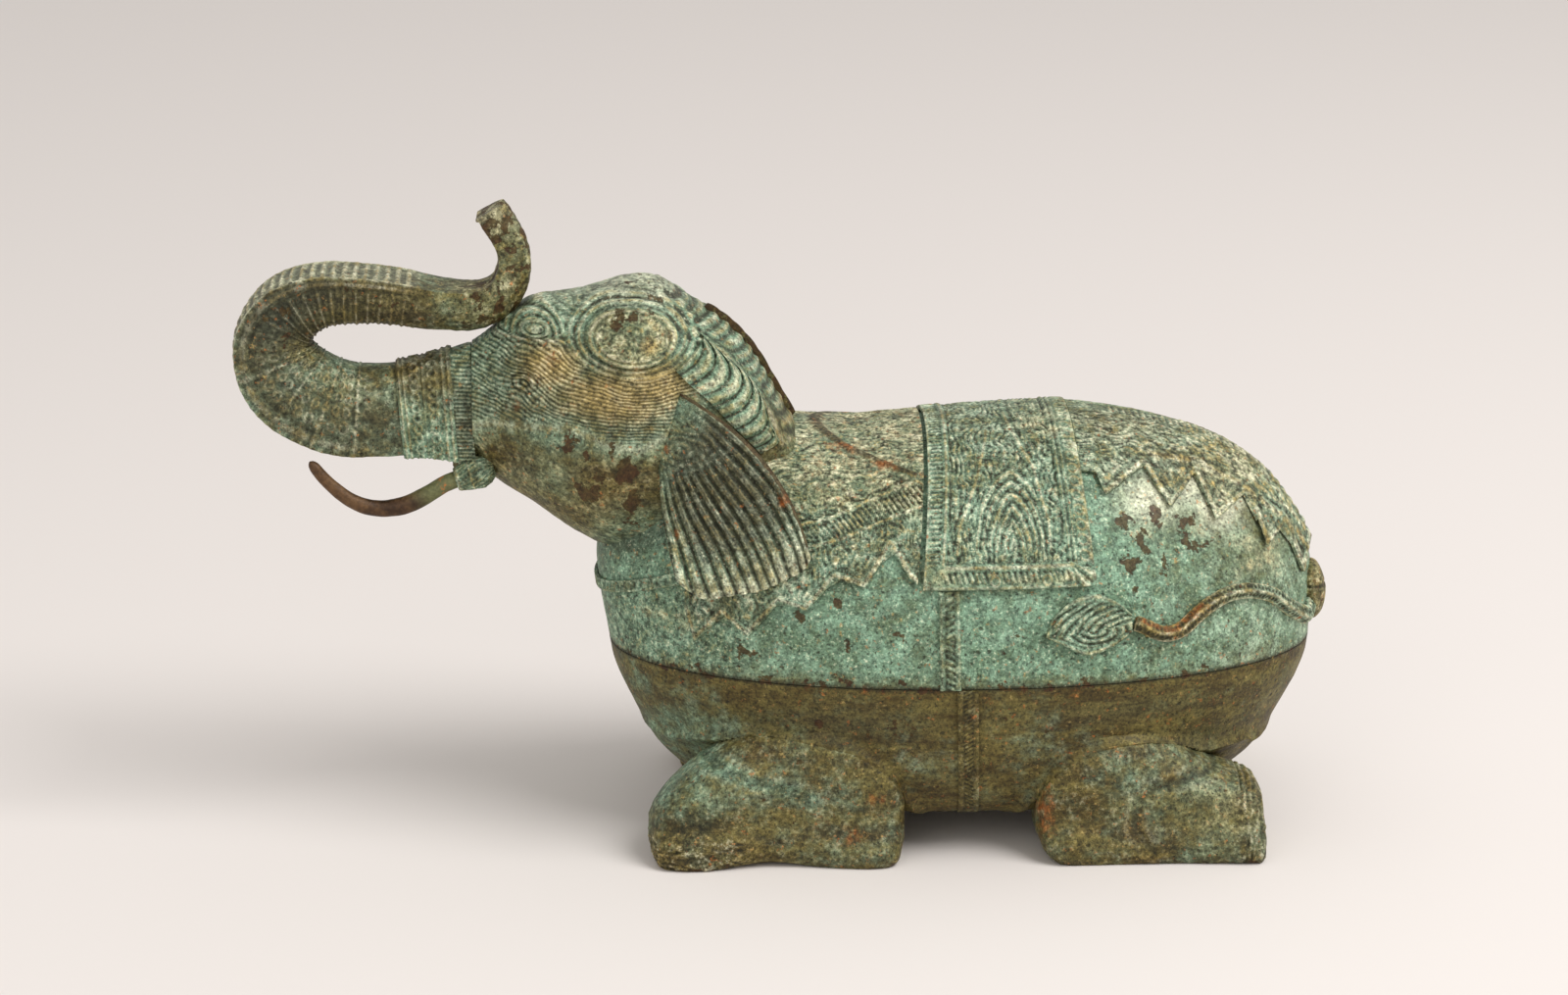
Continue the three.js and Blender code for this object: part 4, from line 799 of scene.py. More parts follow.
def dark_bronze():
    s = Shader("dark_bronze")
    broad = s.noise(14, 4, 0.6)
    fine = s.noise(1.8, 3, 0.7, move=(0.9, 0.4, 0.2))
    colour = s.mix(s.ramp(broad, 0.38, 0.64), srgb(54, 36, 22), srgb(98, 72, 46))
    colour = s.mix(s.ramp(s.about(s.value("teal"), broad, 1.0), 0.1, 0.9), colour, srgb(106, 108, 72))
    rusty = s.ramp(s.about(s.value("rust"), fine, 1.2), 0.45, 0.8)
    colour = s.mix(rusty, colour, RUST)
    colour = s.mix(1.0, colour, s.ramp(fine, 0.25, 0.75, 0.7, 1.3), "MULTIPLY")
    return s.finish(colour, s.ramp(broad, 0.3, 0.7, 0.38, 0.55), 0.2, fine, 0.25)


PATINA = patina()
DARK = dark_bronze()
FINISH_VALUES = ("teal", "ochre", "wear", "flake", "rust", "dark", "relief", "carve", "comb", "comb_amp")


def paint(points, **given):
    """Values of the finish for each point. Relief is 1 on a crest and -1 in a groove."""
    shape = points.shape[:-1]
    given["relief"] = np.clip(given.get("relief", 0.0), -1, 1)
    return {key: np.broadcast_to(np.asarray(given.get(key, 0.0), float), shape) for key in FINISH_VALUES}


def dress(name, node, made, body="lid", slot="teal_patina", material=PATINA, sharp=50):
    """One closed piece that stands for a CAD node."""
    points, faces, values = made
    build(name, body, [node], points, face_out(points, faces), values, material, sharp)


def dress_pair(name, node, made, **settings):
    """The left piece and its mirror image. The braces in the names take left or right."""
    points, faces, values = made
    for side, sign in (("left", 1), ("right", -1)):
        dress(name.format(side), node.format(side), (points * [1, sign, 1], faces, values), **settings)


def height_at(x, line):
    """Height of a line through points of the side view, at an x."""
    return np.interp(x, *zip(*line))


def spot(x, z, at_x, at_z, wide, high):
    """A soft round spot in side view, 1 in the middle."""
    return np.exp(-(((x - at_x) / wide) ** 2 + ((z - at_z) / high) ** 2))


def spots(x, z, places):
    return np.maximum.reduce([spot(x, z, *place) for place in places])


def thread(d, width=0.7):
    """A laid-on thread with a groove on each side, by the distance from its middle."""
    d = np.abs(d)
    return 0.85 * bell(d, width) - 0.6 * bell(d - width - 0.9, 0.6)


def near(x, z, points):
    return polyline_distance(x, z, points)[0]


def scrolls(u, v, pitch, seed, bend=5.0):
    """Dense carved lines that run along v and wander, from -1 to 1."""
    place = plane(u, v)
    turn = bend * noise(place, 13, seed) + 0.45 * bend * noise(place, 5, seed + 1)
    lines = waves(u + turn, pitch)
    return lines * (0.7 + 0.5 * noise(place, 3.5, seed + 2)) + 0.45 * noise(place, 1.7, seed + 3)


def raised(rings, height):
    """Closed rings with their points moved out by a height each."""
    n = normals_of(rings, True)
    n *= np.sign(np.sum(n * (rings - rings.mean(1, keepdims=True)), -1).mean())
    return rings + n * height[..., None]


def cloth_sheet(left_edge, right_edge, hem, rows, columns):
    """A cloth over the lid: rows from edge to edge, columns from the left hem to the right hem.

    The edges give x at a height, the hem gives height at an x."""
    u = np.linspace(0, 1, rows)[:, None]
    t = np.linspace(-1, 1, columns)[None, :]
    z = np.full((rows, columns), SEAM_Z + 60.0)
    for _ in range(5):
        x = lerp(left_edge(z), right_edge(z), u)
        hem_drop = chart_read(CHART_DROP, x, arch_at(x, hem(x)))
        drop = np.abs(t) * hem_drop
        arch = arch_at_drop(x, drop)
        z = chart_read(CHART_Z, x, arch)
    arch = np.where(t > 0, 1 - arch, arch)
    place = dict(x=x, z=z, drop=drop, above_hem=hem_drop - drop, u=x - left_edge(z), v=right_edge(z) - x)
    return place, lambda offset: on_lid(x, arch, offset)


def sheet_solid(top, bottom, coarse=8, **finish):
    """A closed plate: a fine top and a coarse bottom, joined round the rim."""
    rows, columns = top.shape[:2]
    low = bottom[::coarse, ::coarse]
    r, c = low.shape[:2]
    count = rows * columns
    points = np.concatenate([top.reshape(-1, 3), low.reshape(-1, 3)])
    fine = np.arange(count).reshape(rows, columns)
    rough = np.arange(r * c).reshape(r, c) + count

    def rim(index):
        return np.concatenate([index[0, :-1], index[:-1, -1], index[-1, :0:-1], index[:0:-1, 0]])

    around, below = rim(fine), rim(rough)
    side = []
    for k in range(len(below)):
        span = np.take(around, range(k * coarse, (k + 1) * coarse + 1), mode="wrap")
        side.append([below[k], below[(k + 1) % len(below)], *span[::-1]])
    faces = [grid_faces(rows, columns), grid_faces(r, c, count, flip=True), np.array(side)]
    flat = {}
    for key, value in paint(top, **finish).items():
        flat[key] = np.concatenate([value.ravel(), value[::coarse, ::coarse].ravel()])
    return points, faces, flat


def steps(size, pitch, coarse=8):
    return int(round(size / pitch / coarse)) * coarse + 1


# Bowl with its lip

def make_bowl():
    floor = [bowl_ring(1.0) * [s, s, 1] for s in (0.03, 0.35, 0.7, 0.9)]
    wall = [bowl_ring(d) for d in 1 - np.linspace(0, 1, 80) ** 1.15]
    lip_out, lip_in = -LIP_INSET, -LIP_INSET - LIP_THICKNESS
    rise, drop = SEAM_Z + LIP_HEIGHT, SEAM_Z - LIP_HEIGHT
    bevel = 0.4
    profile = [
        (-0.6, SEAM_Z), (lip_out, SEAM_Z), (lip_out, rise - bevel), (lip_out - bevel, rise),
        (lip_in + bevel, rise), (lip_in, rise - bevel), (lip_in, drop)]
    lips = [plan_ring(HALF_LENGTH + offset, HALF_WIDTH + offset, z) for offset, z in profile]
    levels = np.linspace(0.16, 0.95, 18)
    inside = [bowl_ring(level, -BOWL_WALL) + [0, 0, BOWL_WALL * level**4] for level in levels]
    inside += [inside[-1] * [s, s, 1] for s in (0.8, 0.4, 0.03)]
    rings = np.stack([*floor, *wall, *lips, *inside])
    first, end = len(floor), len(floor) + len(wall)
    skin = rings[first:end]
    fade = ramp(SEAM_Z - skin[..., 2], 0, 3)
    uneven = 0.35 * fractal(skin, 22, 3) + 0.15 * noise(skin, 5, 9)
    right = skin[..., 1] > 0
    swell = merge_swell(skin[..., 0], skin[..., 2], np.where(right, TUCK, 0)) * fade
    rings[first:end] = raised(skin, uneven * fade)
    rings[first:end, :, 1] += np.where(right, swell, -swell)
    x, z = side_view(rings)
    below = SEAM_Z - z
    rust = 0.3 * spot(x, z, -10, 75, 120, 5) + 0.26 * spot(x, z, 90, 58, 44, 14)
    teal = 0.08 + 0.4 * spot(x, z, -120, 42, 24, 20) + 0.2 * spot(x, z, -135, 68, 12, 8)
    teal = teal + 0.12 * spot(x, z, 60, 35, 60, 16)
    flake = 0.14 + 0.25 * bell(below, 2.0) + 0.22 * spot(x, z, -50, 60, 60, 6)
    cloud = spots(x, z, [(-55, 60, 34, 8), (70, 65, 44, 6), (100, 48, 22, 8)]) * (z > 0)
    pale = spots(x, z, [(-24, 46, 24, 14), (30, 52, 20, 12), (-100, 58, 22, 10), (125, 60, 14, 12)])
    # relief at the top of the wall is a dark line of painted shadow in the seam under the lid.
    made = close_tube(
        rings, teal=teal + 0.16 * pale, rust=rust, ochre=0.14, wear=0.04 + 0.22 * pale, dark=0.4 * cloud,
        relief=-0.9 * bell(below, 0.9), flake=flake)
    dress("bowl", "base_bowl", made, "base", "olive_patina")


# Lid shell

BAND_RISE = 23.5
BAND_SLOPE = 0.38
BAND_WIDTH = 5
BAND_REAR = -117.3


def band_foot(x):
    """Lower edge of the chest collar, which climbs towards the ear."""
    return SEAM_Z + BAND_RISE + BAND_SLOPE * (x + HALF_LENGTH + 5)


# Line below the jaw, in side view, along which a painted shadow darkens the chest.
CHIN_SHADOW_LINE = [(-156, 122), (-140, 125), (-125, 135), (-118, 150)]
LID_FLAKES = [
    (62, 139, 5, 7), (71, 131, 5, 6), (87, 136, 7, 4), (67, 116, 2.6, 9), (76, 141, 6, 4), (88, 129, 5, 4),
    (79, 123, 2.5, 5), (64, 125, 4, 6), (-49.5, 92, 3, 7), (-92, 90, 6, 4), (20, 98, 5, 3), (98, 128, 4, 3),
    (-30, 100, 4, 3), (-70, 104, 3, 6), (-56, 112, 4, 3), (8, 92, 6, 3),
]


def make_lid_shell():
    stations = np.linspace(0.0006, 0.9994, 240)[:, None]
    skin = lid_point(stations, np.linspace(0, 1, 200)[None, :])
    n = normals_of(skin)
    n = np.nan_to_num(n * np.sign(np.sum(n * (skin - [0, 0, 60.0]), -1).mean()))
    low = ramp(skin[..., 2], RIM_Z + 1, RIM_Z + 8)
    uneven = 0.3 * fractal(skin, 20, 3, 3) + 0.1 * noise(skin, 4, 5)
    ends = ramp(stations, 0.0, 0.03) * ramp(1 - stations, 0.0, 0.03)
    skin = skin + n * (uneven * low * ends)[..., None]
    skin[..., 2] = np.maximum(skin[..., 2], RIM_Z)
    inner = lid_point(stations, np.linspace(1, 0, 20)[None, :], -LID_WALL)
    inner[..., 2] = np.maximum(inner[..., 2], RIM_Z)
    rings = np.concatenate([skin, inner], 1)
    x, z = side_view(rings)
    rear = ramp(x, 60, 120)
    rim = bell(z - RIM_Z, 5.5) * (1 - 0.55 * rear)
    chest = ramp(band_foot(x) - z, 0, 2) * ramp(x, -85, -105)
    # A painted highlight: pale spots on the upper rump where the lamp's sheen falls.
    bright_spots = spots(x, z, [(74, 147, 19, 12), (90, 152, 10, 11), (104, 142, 12, 9)])
    teal = 0.76 - 0.34 * rim + 0.15 * fractal(rings, 40, 2, 11) - 0.25 * rear * ramp(z, 90, 120)
    flake = 0.3 * rim + 0.07 + 0.5 * spots(x, z, LID_FLAKES) + 0.1 * rear
    rubbed = spots(x, z, [(20, 96, 40, 10), (60, 108, 24, 10), (-85, 94, 18, 10)])
    # Painted shade: dark along the chin shadow line, and the relief at the rim is a dark groove of painted
    # shadow in the seam.
    made = close_tube(
        rings, teal=teal, flake=flake, wear=0.06 + 0.74 * bright_spots + 0.28 * rear + 0.14 * rubbed, rust=0.2 * rim,
        ochre=0.08 + 0.42 * spots(x, z, [(118, 120, 24, 16), (82, 136, 26, 10), (-120, 100, 20, 8)]),
        dark=0.75 * bell(near(x, z, CHIN_SHADOW_LINE), 4.5), carve=0.6 * chest, relief=-1.0 * bell(z - RIM_Z, 1.3))
    dress("lid_shell_visual", "lid_shell", made)


# Saddle cloth

SADDLE_X = 14
SADDLE_HEM_Z = SEAM_Z + 40
SADDLE_SLOPE = 5.5 / (LID_HEIGHT - 40)
CLOTH_THICKNESS = 1.1
CLOTH_RELIEF = 0.36
# How far the ends of the neck and rump cloths run on above the back, as lines in side view.
OVERSHOOT = 30
SADDLE_TENT = [
    [(8.3, 168), (2, 154), (-5.9, 138.5), (-7, 130)],
    [(16.9, 171.3), (25.9, 158.2), (30.6, 140.5), (31, 131)],
    [(-9, 168), (-11, 150), (-10, 132)],
    [(36, 168), (38, 150), (37, 132)],
]


def saddle_half(z, inset=0.0):
    """Half length of the saddle at a height. It widens downwards."""
    return 29.5 + SADDLE_SLOPE * (BACK_Z - z) - inset


def cloth_top(at, relief, more):
    return at(CLOTH_GAP + CLOTH_THICKNESS + CLOTH_RELIEF * relief + more)


def saddle_edge(side):
    """The saddle's front end for side -1 and its rear end for side 1, at a height."""
    return lambda z: SADDLE_X + side * saddle_half(z)


def saddle_border(u, v, s, h, along):
    """Ladder on the left, loops on the right, and a roll with a fringe along the hem."""
    upper = ramp(h, 9, 10)
    relief = upper * ramp(u, 0.8, 1.4) * ramp(u, 6.2, 5.4) * 0.8 * waves(s, 2.3)
    relief += upper * thread(u - 7.4, 0.7)
    relief += upper * (thread(v - 7.2, 0.5) + thread(v - 9.2, 0.5))
    loop = np.hypot(v - 3.4, (s % 6.2) - 3.1)
    relief += upper * ramp(v, 6.2, 5.6) * (0.9 * bell(loop - 2.1, 0.6) - 0.6 * bell(loop, 0.9))
    field = ramp(u, 7.5, 8.5)
    relief += field * ramp(v, 7.5, 8.5) * thread(h - 8.6, 1.0)
    fringe = field * ramp(h, 2.0, 2.6) * ramp(h, 7.2, 6.6) * ramp(v, 8, 9)
    relief += fringe * 0.75 * waves(along + 0.25 * h, 2.4)
    rings = np.minimum(np.hypot(along + 6, h - 3.2), np.hypot(along - 15, h - 3.2))
    relief = np.where(rings < 3, thread(rings - 1.8, 0.5), relief)
    corner = ramp(v, 9, 8) * ramp(h, 9, 8)
    relief = lerp(relief, 0.8 * np.cos(12 * np.arctan2(10 - h, 10 - v)), corner)
    relief += 0.7 * bell(u - 0.5, 0.6) + 0.7 * bell(v - 0.5, 0.6) + 0.6 * bell(h - 0.6, 0.6)
    return relief


def make_saddle():
    place, at = cloth_sheet(
        saddle_edge(-1), saddle_edge(1),
        lambda x: np.full(np.shape(x), SADDLE_HEM_Z), steps(66, 0.55), steps(228, 0.65))
    x, z, u, v, s, h = (place[k] for k in ("x", "z", "u", "v", "drop", "above_hem"))
    inner = ramp(u, 8.3, 9.3) * ramp(v, 9.8, 10.6) * ramp(h, 10.2, 11.4)
    tent = np.minimum.reduce([near(x, z, line) for line in SADDLE_TENT])
    arch = np.hypot(np.abs(x - 16) + 7, (z - 131) / 1.3)
    arches = ramp(arch, 25, 22) * ramp(z, 129, 132)
    arch = arch + 0.8 * noise(plane(x, z), 9, 17)
    carved = 0.85 * scrolls(x, s, 2.3, 21, 4) * (1 - arches) + arches * 0.75 * waves(arch, 2.7)
    carved = carved * ramp(tent, 1.0, 2.4) + thread(tent, 0.7)
    relief = inner * carved + saddle_border(u, v, s, h, x - SADDLE_X)
    top = cloth_top(at, relief, 0.7 * (1 - inner) + 0.08 * noise(plane(x, s), 3, 4))
    bright_spots = spots(x, z, [(-14, 122, 14, 6), (30, 120, 30, 3), (42, 158, 3, 14), (30, 170, 18, 5)])
    # wear: even wear, plus a painted highlight that grows towards the top of the back.
    made = sheet_solid(
        top, at(CLOTH_GAP), teal=0.68 + 0.15 * fractal(top, 30, 2, 6), wear=0.14 + 0.2 * ramp(z, 150, 172),
        relief=relief, carve=0.35 + 0.5 * inner, ochre=0.12 + 0.4 * bright_spots,
        rust=0.3 * spots(x, z, [(4, 162, 5, 3), (28, 168, 5, 4), (42, 150, 2, 5)]))
    dress("saddle", "saddle_cloth", made)


# Neck cloth with its hem of pendants

NECK_FRONT = MUZZLE_X + 0.64 * HEAD_LENGTH
NECK_REAR = SADDLE_X - saddle_half(SADDLE_HEM_Z - CLOTH_GAP, -CLOTH_GAP) - CLOTH_GAP
NECK_TOP_REAR = SADDLE_X - saddle_half(BACK_Z + OVERSHOOT, -CLOTH_GAP)
NECK_HEM = [(lerp(NECK_FRONT, NECK_REAR, along), SEAM_Z + up * LID_HEIGHT) for along, up in [
    (0, 0.283), (0.036, 0.141), (0.158, 0.283), (0.268, 0.199), (0.4, 0.356), (0.52, 0.325),
    (0.643, 0.461), (0.775, 0.429), (0.885, 0.586), (0.9625, 0.471), (1, 0.44)]]
NECK_THREAD = [(-92, 178), (-74, 171.9), (-48.9, 162.9), (-22.2, 156)]
NECK_STRAP = [(-76, 134), (-65, 136.8), (-57, 138.4), (-40.2, 144.5), (-22.2, 150.2)]


def make_neck_cloth():
    low, high = NECK_HEM[-1][1], BACK_Z + OVERSHOOT

    def rear(z):
        return lerp(NECK_REAR, NECK_TOP_REAR, np.clip((z - low) / (high - low), 0, 1))

    place, at = cloth_sheet(
        lambda z: np.full(np.shape(z), NECK_FRONT), rear,
        lambda x: height_at(x, NECK_HEM), steps(95, 0.65), steps(250, 0.75))
    x, z, s = (place[k] for k in ("x", "z", "drop"))
    edge, line, strap = near(x, z, NECK_HEM), near(x, z, NECK_THREAD), near(x, z, NECK_STRAP)
    above = z > height_at(x, NECK_STRAP)
    carved = np.where(above, scrolls(s, x, 2.6, 31, 6), scrolls(x, s, 3.0, 37, 7))
    field = ramp(edge, 3, 4)
    relief = 0.8 * carved * ramp(line, 1.2, 2.4) * ramp(strap, 3.6, 4.6) * ramp(edge, 3, 4.5)
    relief += field * ramp(strap, 3.4, 2.8) * 0.9 * waves(x + 0.9 * z, 2.5)
    relief += field * thread(strap - 4, 0.5)
    relief += thread(edge - 1.2, 0.9)
    wire = ramp(line, 1.0, 0.4)
    relief = lerp(relief, 0.9, wire)
    top = cloth_top(at, relief, 0.3 * wire + 0.2 * fractal(plane(x, s), 12, 2, 8))
    # wear: even wear, plus a painted highlight that grows towards the top of the neck.
    made = sheet_solid(
        top, at(CLOTH_GAP), teal=0.62 + 0.2 * fractal(top, 30, 2, 12) - 0.4 * wire,
        wear=0.16 + 0.24 * ramp(z, 145, 165),
        relief=lerp(relief, -0.5, wire), dark=0.6 * wire, carve=0.9, ochre=0.1 + 0.42 * ramp(z, 130, 150),
        rust=0.3 * ramp(z, 140, 155) * ramp(x, -80, -60)
        + 0.3 * spots(x, z, [(-50, 162.5, 6, 1.5), (-34, 158.5, 6, 1.5)]))
    dress("neck_cloth_visual", "neck_cloth", made)


# Rump cloth with its flame hem

RUMP_START_TOP = SADDLE_X + saddle_half(BACK_Z + OVERSHOOT, -CLOTH_GAP)
RUMP_START_HEM = lerp(RUMP_START_TOP, SADDLE_X + saddle_half(SADDLE_HEM_Z - CLOTH_GAP, -CLOTH_GAP), 0.45)
RUMP_END = 0.99 * HALF_LENGTH
RUMP_HEM = [(lerp(RUMP_START_HEM, RUMP_END, along), SEAM_Z + up * LID_HEIGHT) for along, up in [
    (0, 0.84), (0.06, 0.83), (0.09, 0.75), (0.26, 0.84), (0.36, 0.68), (0.48, 0.79),
    (0.55, 0.61), (0.7, 0.69), (0.77, 0.47), (0.86, 0.53), (0.95, 0.3), (1, 0.45)]]
RUMP_RIDGE = [(74, 160), (94.4, 155.3), (111.8, 146.1), (133.3, 128.3), (143.4, 114.2)]


def make_rump_cloth():
    low, high = 157, BACK_Z + OVERSHOOT

    def front(z):
        return lerp(RUMP_START_HEM, RUMP_START_TOP, np.clip((z - low) / (high - low), 0, 1))

    place, at = cloth_sheet(
        front, lambda z: np.full(np.shape(z), min(RUMP_END, CHART_X[-1] - 0.1)),
        lambda x: height_at(x, RUMP_HEM), steps(98, 0.65), steps(190, 0.65))
    x, z, s = (place[k] for k in ("x", "z", "drop"))
    edge = near(x, z, RUMP_HEM[2:])
    ridge, along = polyline_distance(x, z, RUMP_RIDGE)
    above = z > height_at(x, RUMP_RIDGE)
    carved = np.where(above, scrolls(s, x, 2.5, 41, 6), scrolls(x + 0.5 * z, s, 3.0, 47, 8))
    relief = 0.8 * carved * ramp(ridge, 1.5, 3) * ramp(edge, 3, 4.5) * ramp(s, 5, 6.5)
    relief += thread(edge - 1.0, 0.9) + 0.5 * bell(edge - 4.4, 0.7)
    relief += thread(ridge, 1.0) + above * 0.7 * bell(ridge - 3.2, 0.7)
    loops = np.hypot(ridge - 6.4, (along % 5.4) - 2.7)
    relief += above * ramp(x, 88, 92) * ramp(loops, 3, 2.6) * 0.8 * bell(loops - 1.7, 0.6)
    comb = ramp(s, 4.8, 4.0) * ramp(x, 58, 62)
    relief += comb * 0.8 * waves(x, 2.8) - 0.6 * bell(s - 5.4, 0.6)
    top = cloth_top(at, relief, 0.15 * fractal(plane(x, s), 14, 2, 8))
    made = sheet_solid(
        top, at(CLOTH_GAP), teal=0.55 + 0.2 * fractal(top, 30, 2, 14), wear=0.36, relief=relief, carve=0.9,
        ochre=0.32 + 0.2 * spot(x, z, 110, 150, 20, 14), rust=0.16 * bell(edge - 1.0, 1.5))
    dress("rump_cloth_visual", "rump_cloth", made)


# Head

MEDALLION = (-137.2, HEAD_Z + 0.691 * HEAD_HALF_HEIGHT)
MEDALLION_SIZE = (37, 21.5)
MEDALLION_REACH = 12.5
EYE = (MUZZLE_X + 0.191 * HEAD_LENGTH, HEAD_Z + 0.719 * HEAD_HALF_HEIGHT)
EYE_SIZE = (13, 6)
COMB_PITCH = 1.6
JAW_LINE = [
    (-206, 172), (-195.6, 176), (-179.4, 177), (-163.4, 178), (-147.6, 172), (-133.8, 170), (-123.8, 176),
    (-112, 190)]
NECK_RIDGE = [(-126, 229), (-115.1, 216.2), (-99.2, 204.9), (-85.8, 188.5), (-79.8, 178.2), (-76, 168)]
CHIN_FOLD = [(-152, 126), (-140, 126), (-130, 132), (-122, 146), (-118, 160)]
HEAD_FLAKES = [
    (-163.6, 171, 4, 6), (-157, 166, 3, 4), (-155, 151, 6, 6), (-146.5, 169.5, 4, 4), (-141, 160, 5.5, 10),
    (-138.7, 146, 4, 8), (-136, 136, 5, 3), (-150, 157, 3, 3)]


def from_medallion(x, z):
    """Share of the way from the medallion's middle to its rim."""
    return np.hypot((x - MEDALLION[0]) / MEDALLION_SIZE[0], (z - MEDALLION[1]) / MEDALLION_SIZE[1]) * 2


def past_medallion(x, z):
    """Rough distance outside the medallion's rim."""
    return (from_medallion(x, z) - 1) * MEDALLION_REACH


def comb_flow(x, z):
    """A value that is even along each combed line: level at the muzzle, then under the medallion."""
    oval = past_medallion(x, z)
    level = 221 - z - 0.1 * (x + 170)
    blend = np.clip(1 - np.abs(oval - level) / 20, 0, 1)
    bump = 3 * spot(x, z, -181, 194.6, 8, 6)
    return np.minimum(oval, level) - 5 * blend**2 + bump


def head_relief(x, z):
    brow = np.hypot(x - EYE[0], (z - EYE[1] + 2.5) * 1.1)
    arcs = ramp(z, EYE[1] - 3.5, EYE[1] - 2) * ramp(brow, 13.5, 12.5)
    relief = 0.8 * arcs * waves(brow, 3.0)
    relief += thread(segment_distance(x, z, (-193, EYE[1] - 4.5), (-163, EYE[1] - 4))[0], 0.6)
    ring = np.hypot(x + 181.2, (z - 194.6) * 1.3)
    relief += ramp(ring, 7, 6) * 0.8 * waves(ring, 3.4)
    seat = past_medallion(x, z)
    relief += thread(seat - 2.2, 0.6) + 0.9 * thread(seat - 4.6, 0.6)
    ridge, along = polyline_distance(x, z, NECK_RIDGE)
    above = z > height_at(x, NECK_RIDGE)
    curl = above * ramp(ridge, 1.8, 3) * ramp(ridge, 16, 12) * ramp(along, 0, 8)
    relief += curl * 0.9 * waves(along - 0.9 * ridge - 0.05 * ridge**2, 6.4)
    relief += ramp(x, -132, -124) * thread(ridge, 0.9)
    return relief, arcs


def make_head():
    shares = np.linspace(0, 1, 228)[:, None]
    skin = head_point(shares, (np.arange(410) / 410)[None, :])
    x, z = side_view(skin)
    relief, arcs = head_relief(x, z)
    jaw = z - height_at(x, JAW_LINE)
    relief += ramp(x, -100, -115) * 0.5 * bell(jaw, 2.5)
    seat = past_medallion(x, z)
    upper = ramp(z, 214, 232)
    combed = ramp(jaw, -1, 5) * (1 - arcs) * ramp(seat, 5.2, 6.4) * ramp(x, -104, -112)
    flow = comb_flow(x, z) + 1.2 * noise(skin, 9, 41) + 0.4 * noise(skin, 3.5, 42)
    comb_wave = np.sin(2 * np.pi * flow / COMB_PITCH) * combed * (1 - 0.6 * upper)
    rough = fractal(skin, 14, 3, 44)
    height = 0.42 * relief + 0.35 * rough + 0.1 * noise(skin, 3, 49) + 0.12 * comb_wave
    points = raised(skin, height * ramp(x, MUZZLE_X, MUZZLE_X + 2))
    cheek = spots(x, z, [(-146, 191, 24, 11), (-170, 203, 14, 9), (-126, 196, 14, 9)])
    low = ramp(jaw, 4, -14)
    chin = ramp(z, 150, 128) * ramp(x, -160, -145)
    flake = 0.08 + 0.58 * spots(x, z, HEAD_FLAKES) + 0.06 * low * (1 - chin)
    # Painted shade in the crease between the jaw and the chest.
    fold_shade = bell(z - height_at(x, CHIN_FOLD), 5) * ramp(x, -152, -138) * ramp(z, 166, 150)
    stains = spots(x, z, [(-122.9, 187.5, 3, 2.5), (-168, 204, 7, 4), (-186, 185, 4, 6), (-163.6, 172, 2, 3)])
    # The wear from upper is a painted highlight on the top of the head, where light falls from above.
    made, faces, values = close_tube(
        points, teal=0.62 + 0.2 * upper - 0.42 * cheek - 0.3 * low + 0.25 * chin,
        ochre=0.22 + 0.72 * cheek + 0.2 * low, wear=0.1 + 0.58 * upper + 0.22 * cheek, dark=0.55 * fold_shade,
        flake=flake + 0.3 * spot(x, z, -132, 229, 14, 4), relief=relief, rust=0.5 * stains,
        comb=flow / COMB_PITCH, comb_amp=combed * (1 - 0.5 * upper), carve=0.25 + 0.3 * upper)
    made = press_into_wall(made, np.array([-105.0, 0, 120]))
    dress("head_visual", "head", (made, faces, values))


# Pieces on the side of the head

def head_oval_rings(centre, size, profile, count):
    angle = 2 * np.pi * np.arange(count) / count
    share, rise = (np.array(column)[:, None] for column in zip(*profile))
    x = centre[0] + share * size[0] * np.cos(angle) / 2
    z = centre[1] + share * size[1] * np.sin(angle) / 2
    return on_head(x, z, ORNAMENT_GAP + rise)


def make_medallions():
    shares = np.linspace(1, 0.01, 60)
    edge = (1 - shares) * MEDALLION_SIZE[1] / 2
    rise = 0.85 + 0.6 * bell(edge - 0.9, 0.6) + 0.35 * bell(edge - 2.7, 0.5) + 0.3 * ramp(edge, 3, 8)
    profile = [(0.01, 0), (0.5, 0), (0.97, 0), (1.0, 0.3)] + list(zip(shares, rise))
    rings = head_oval_rings(MEDALLION, MEDALLION_SIZE, profile, 170)
    x, z = side_view(rings)
    d = from_medallion(x, z)
    inside = ramp(d, 0.86, 0.78)
    leaf = np.hypot(x - MEDALLION[0] + 5, (z - MEDALLION[1]) * 1.2) + 4 * noise(rings, 6, 3)
    carved = 0.5 * waves(leaf, 3.4) + 1.1 * noise(rings, 2.4, 61)
    rings[..., 1] -= 0.26 * carved * inside * (np.arange(len(rings)) > 3)[:, None]
    depth = (1 - d) * MEDALLION_REACH
    rim = 0.8 * bell(depth - 1.0, 0.6) - 0.7 * bell(depth - 2.0, 0.5) + 0.5 * bell(depth - 2.9, 0.5)
    dark = spot(x, z, MEDALLION[0] - 2, MEDALLION[1] + 8, 12, 4)
    made = close_tube(
        rings, teal=0.55, ochre=0.5 + 0.5 * spot(x, z, -130, 211.5, 3.5, 3), flake=0.5 * dark + 0.08,
        relief=rim + 0.5 * carved * inside, carve=0.7 * inside, wear=0.2)
    dress_pair("{}_medallion", "{}_temple_medallion", made, slot="ochre_patina")


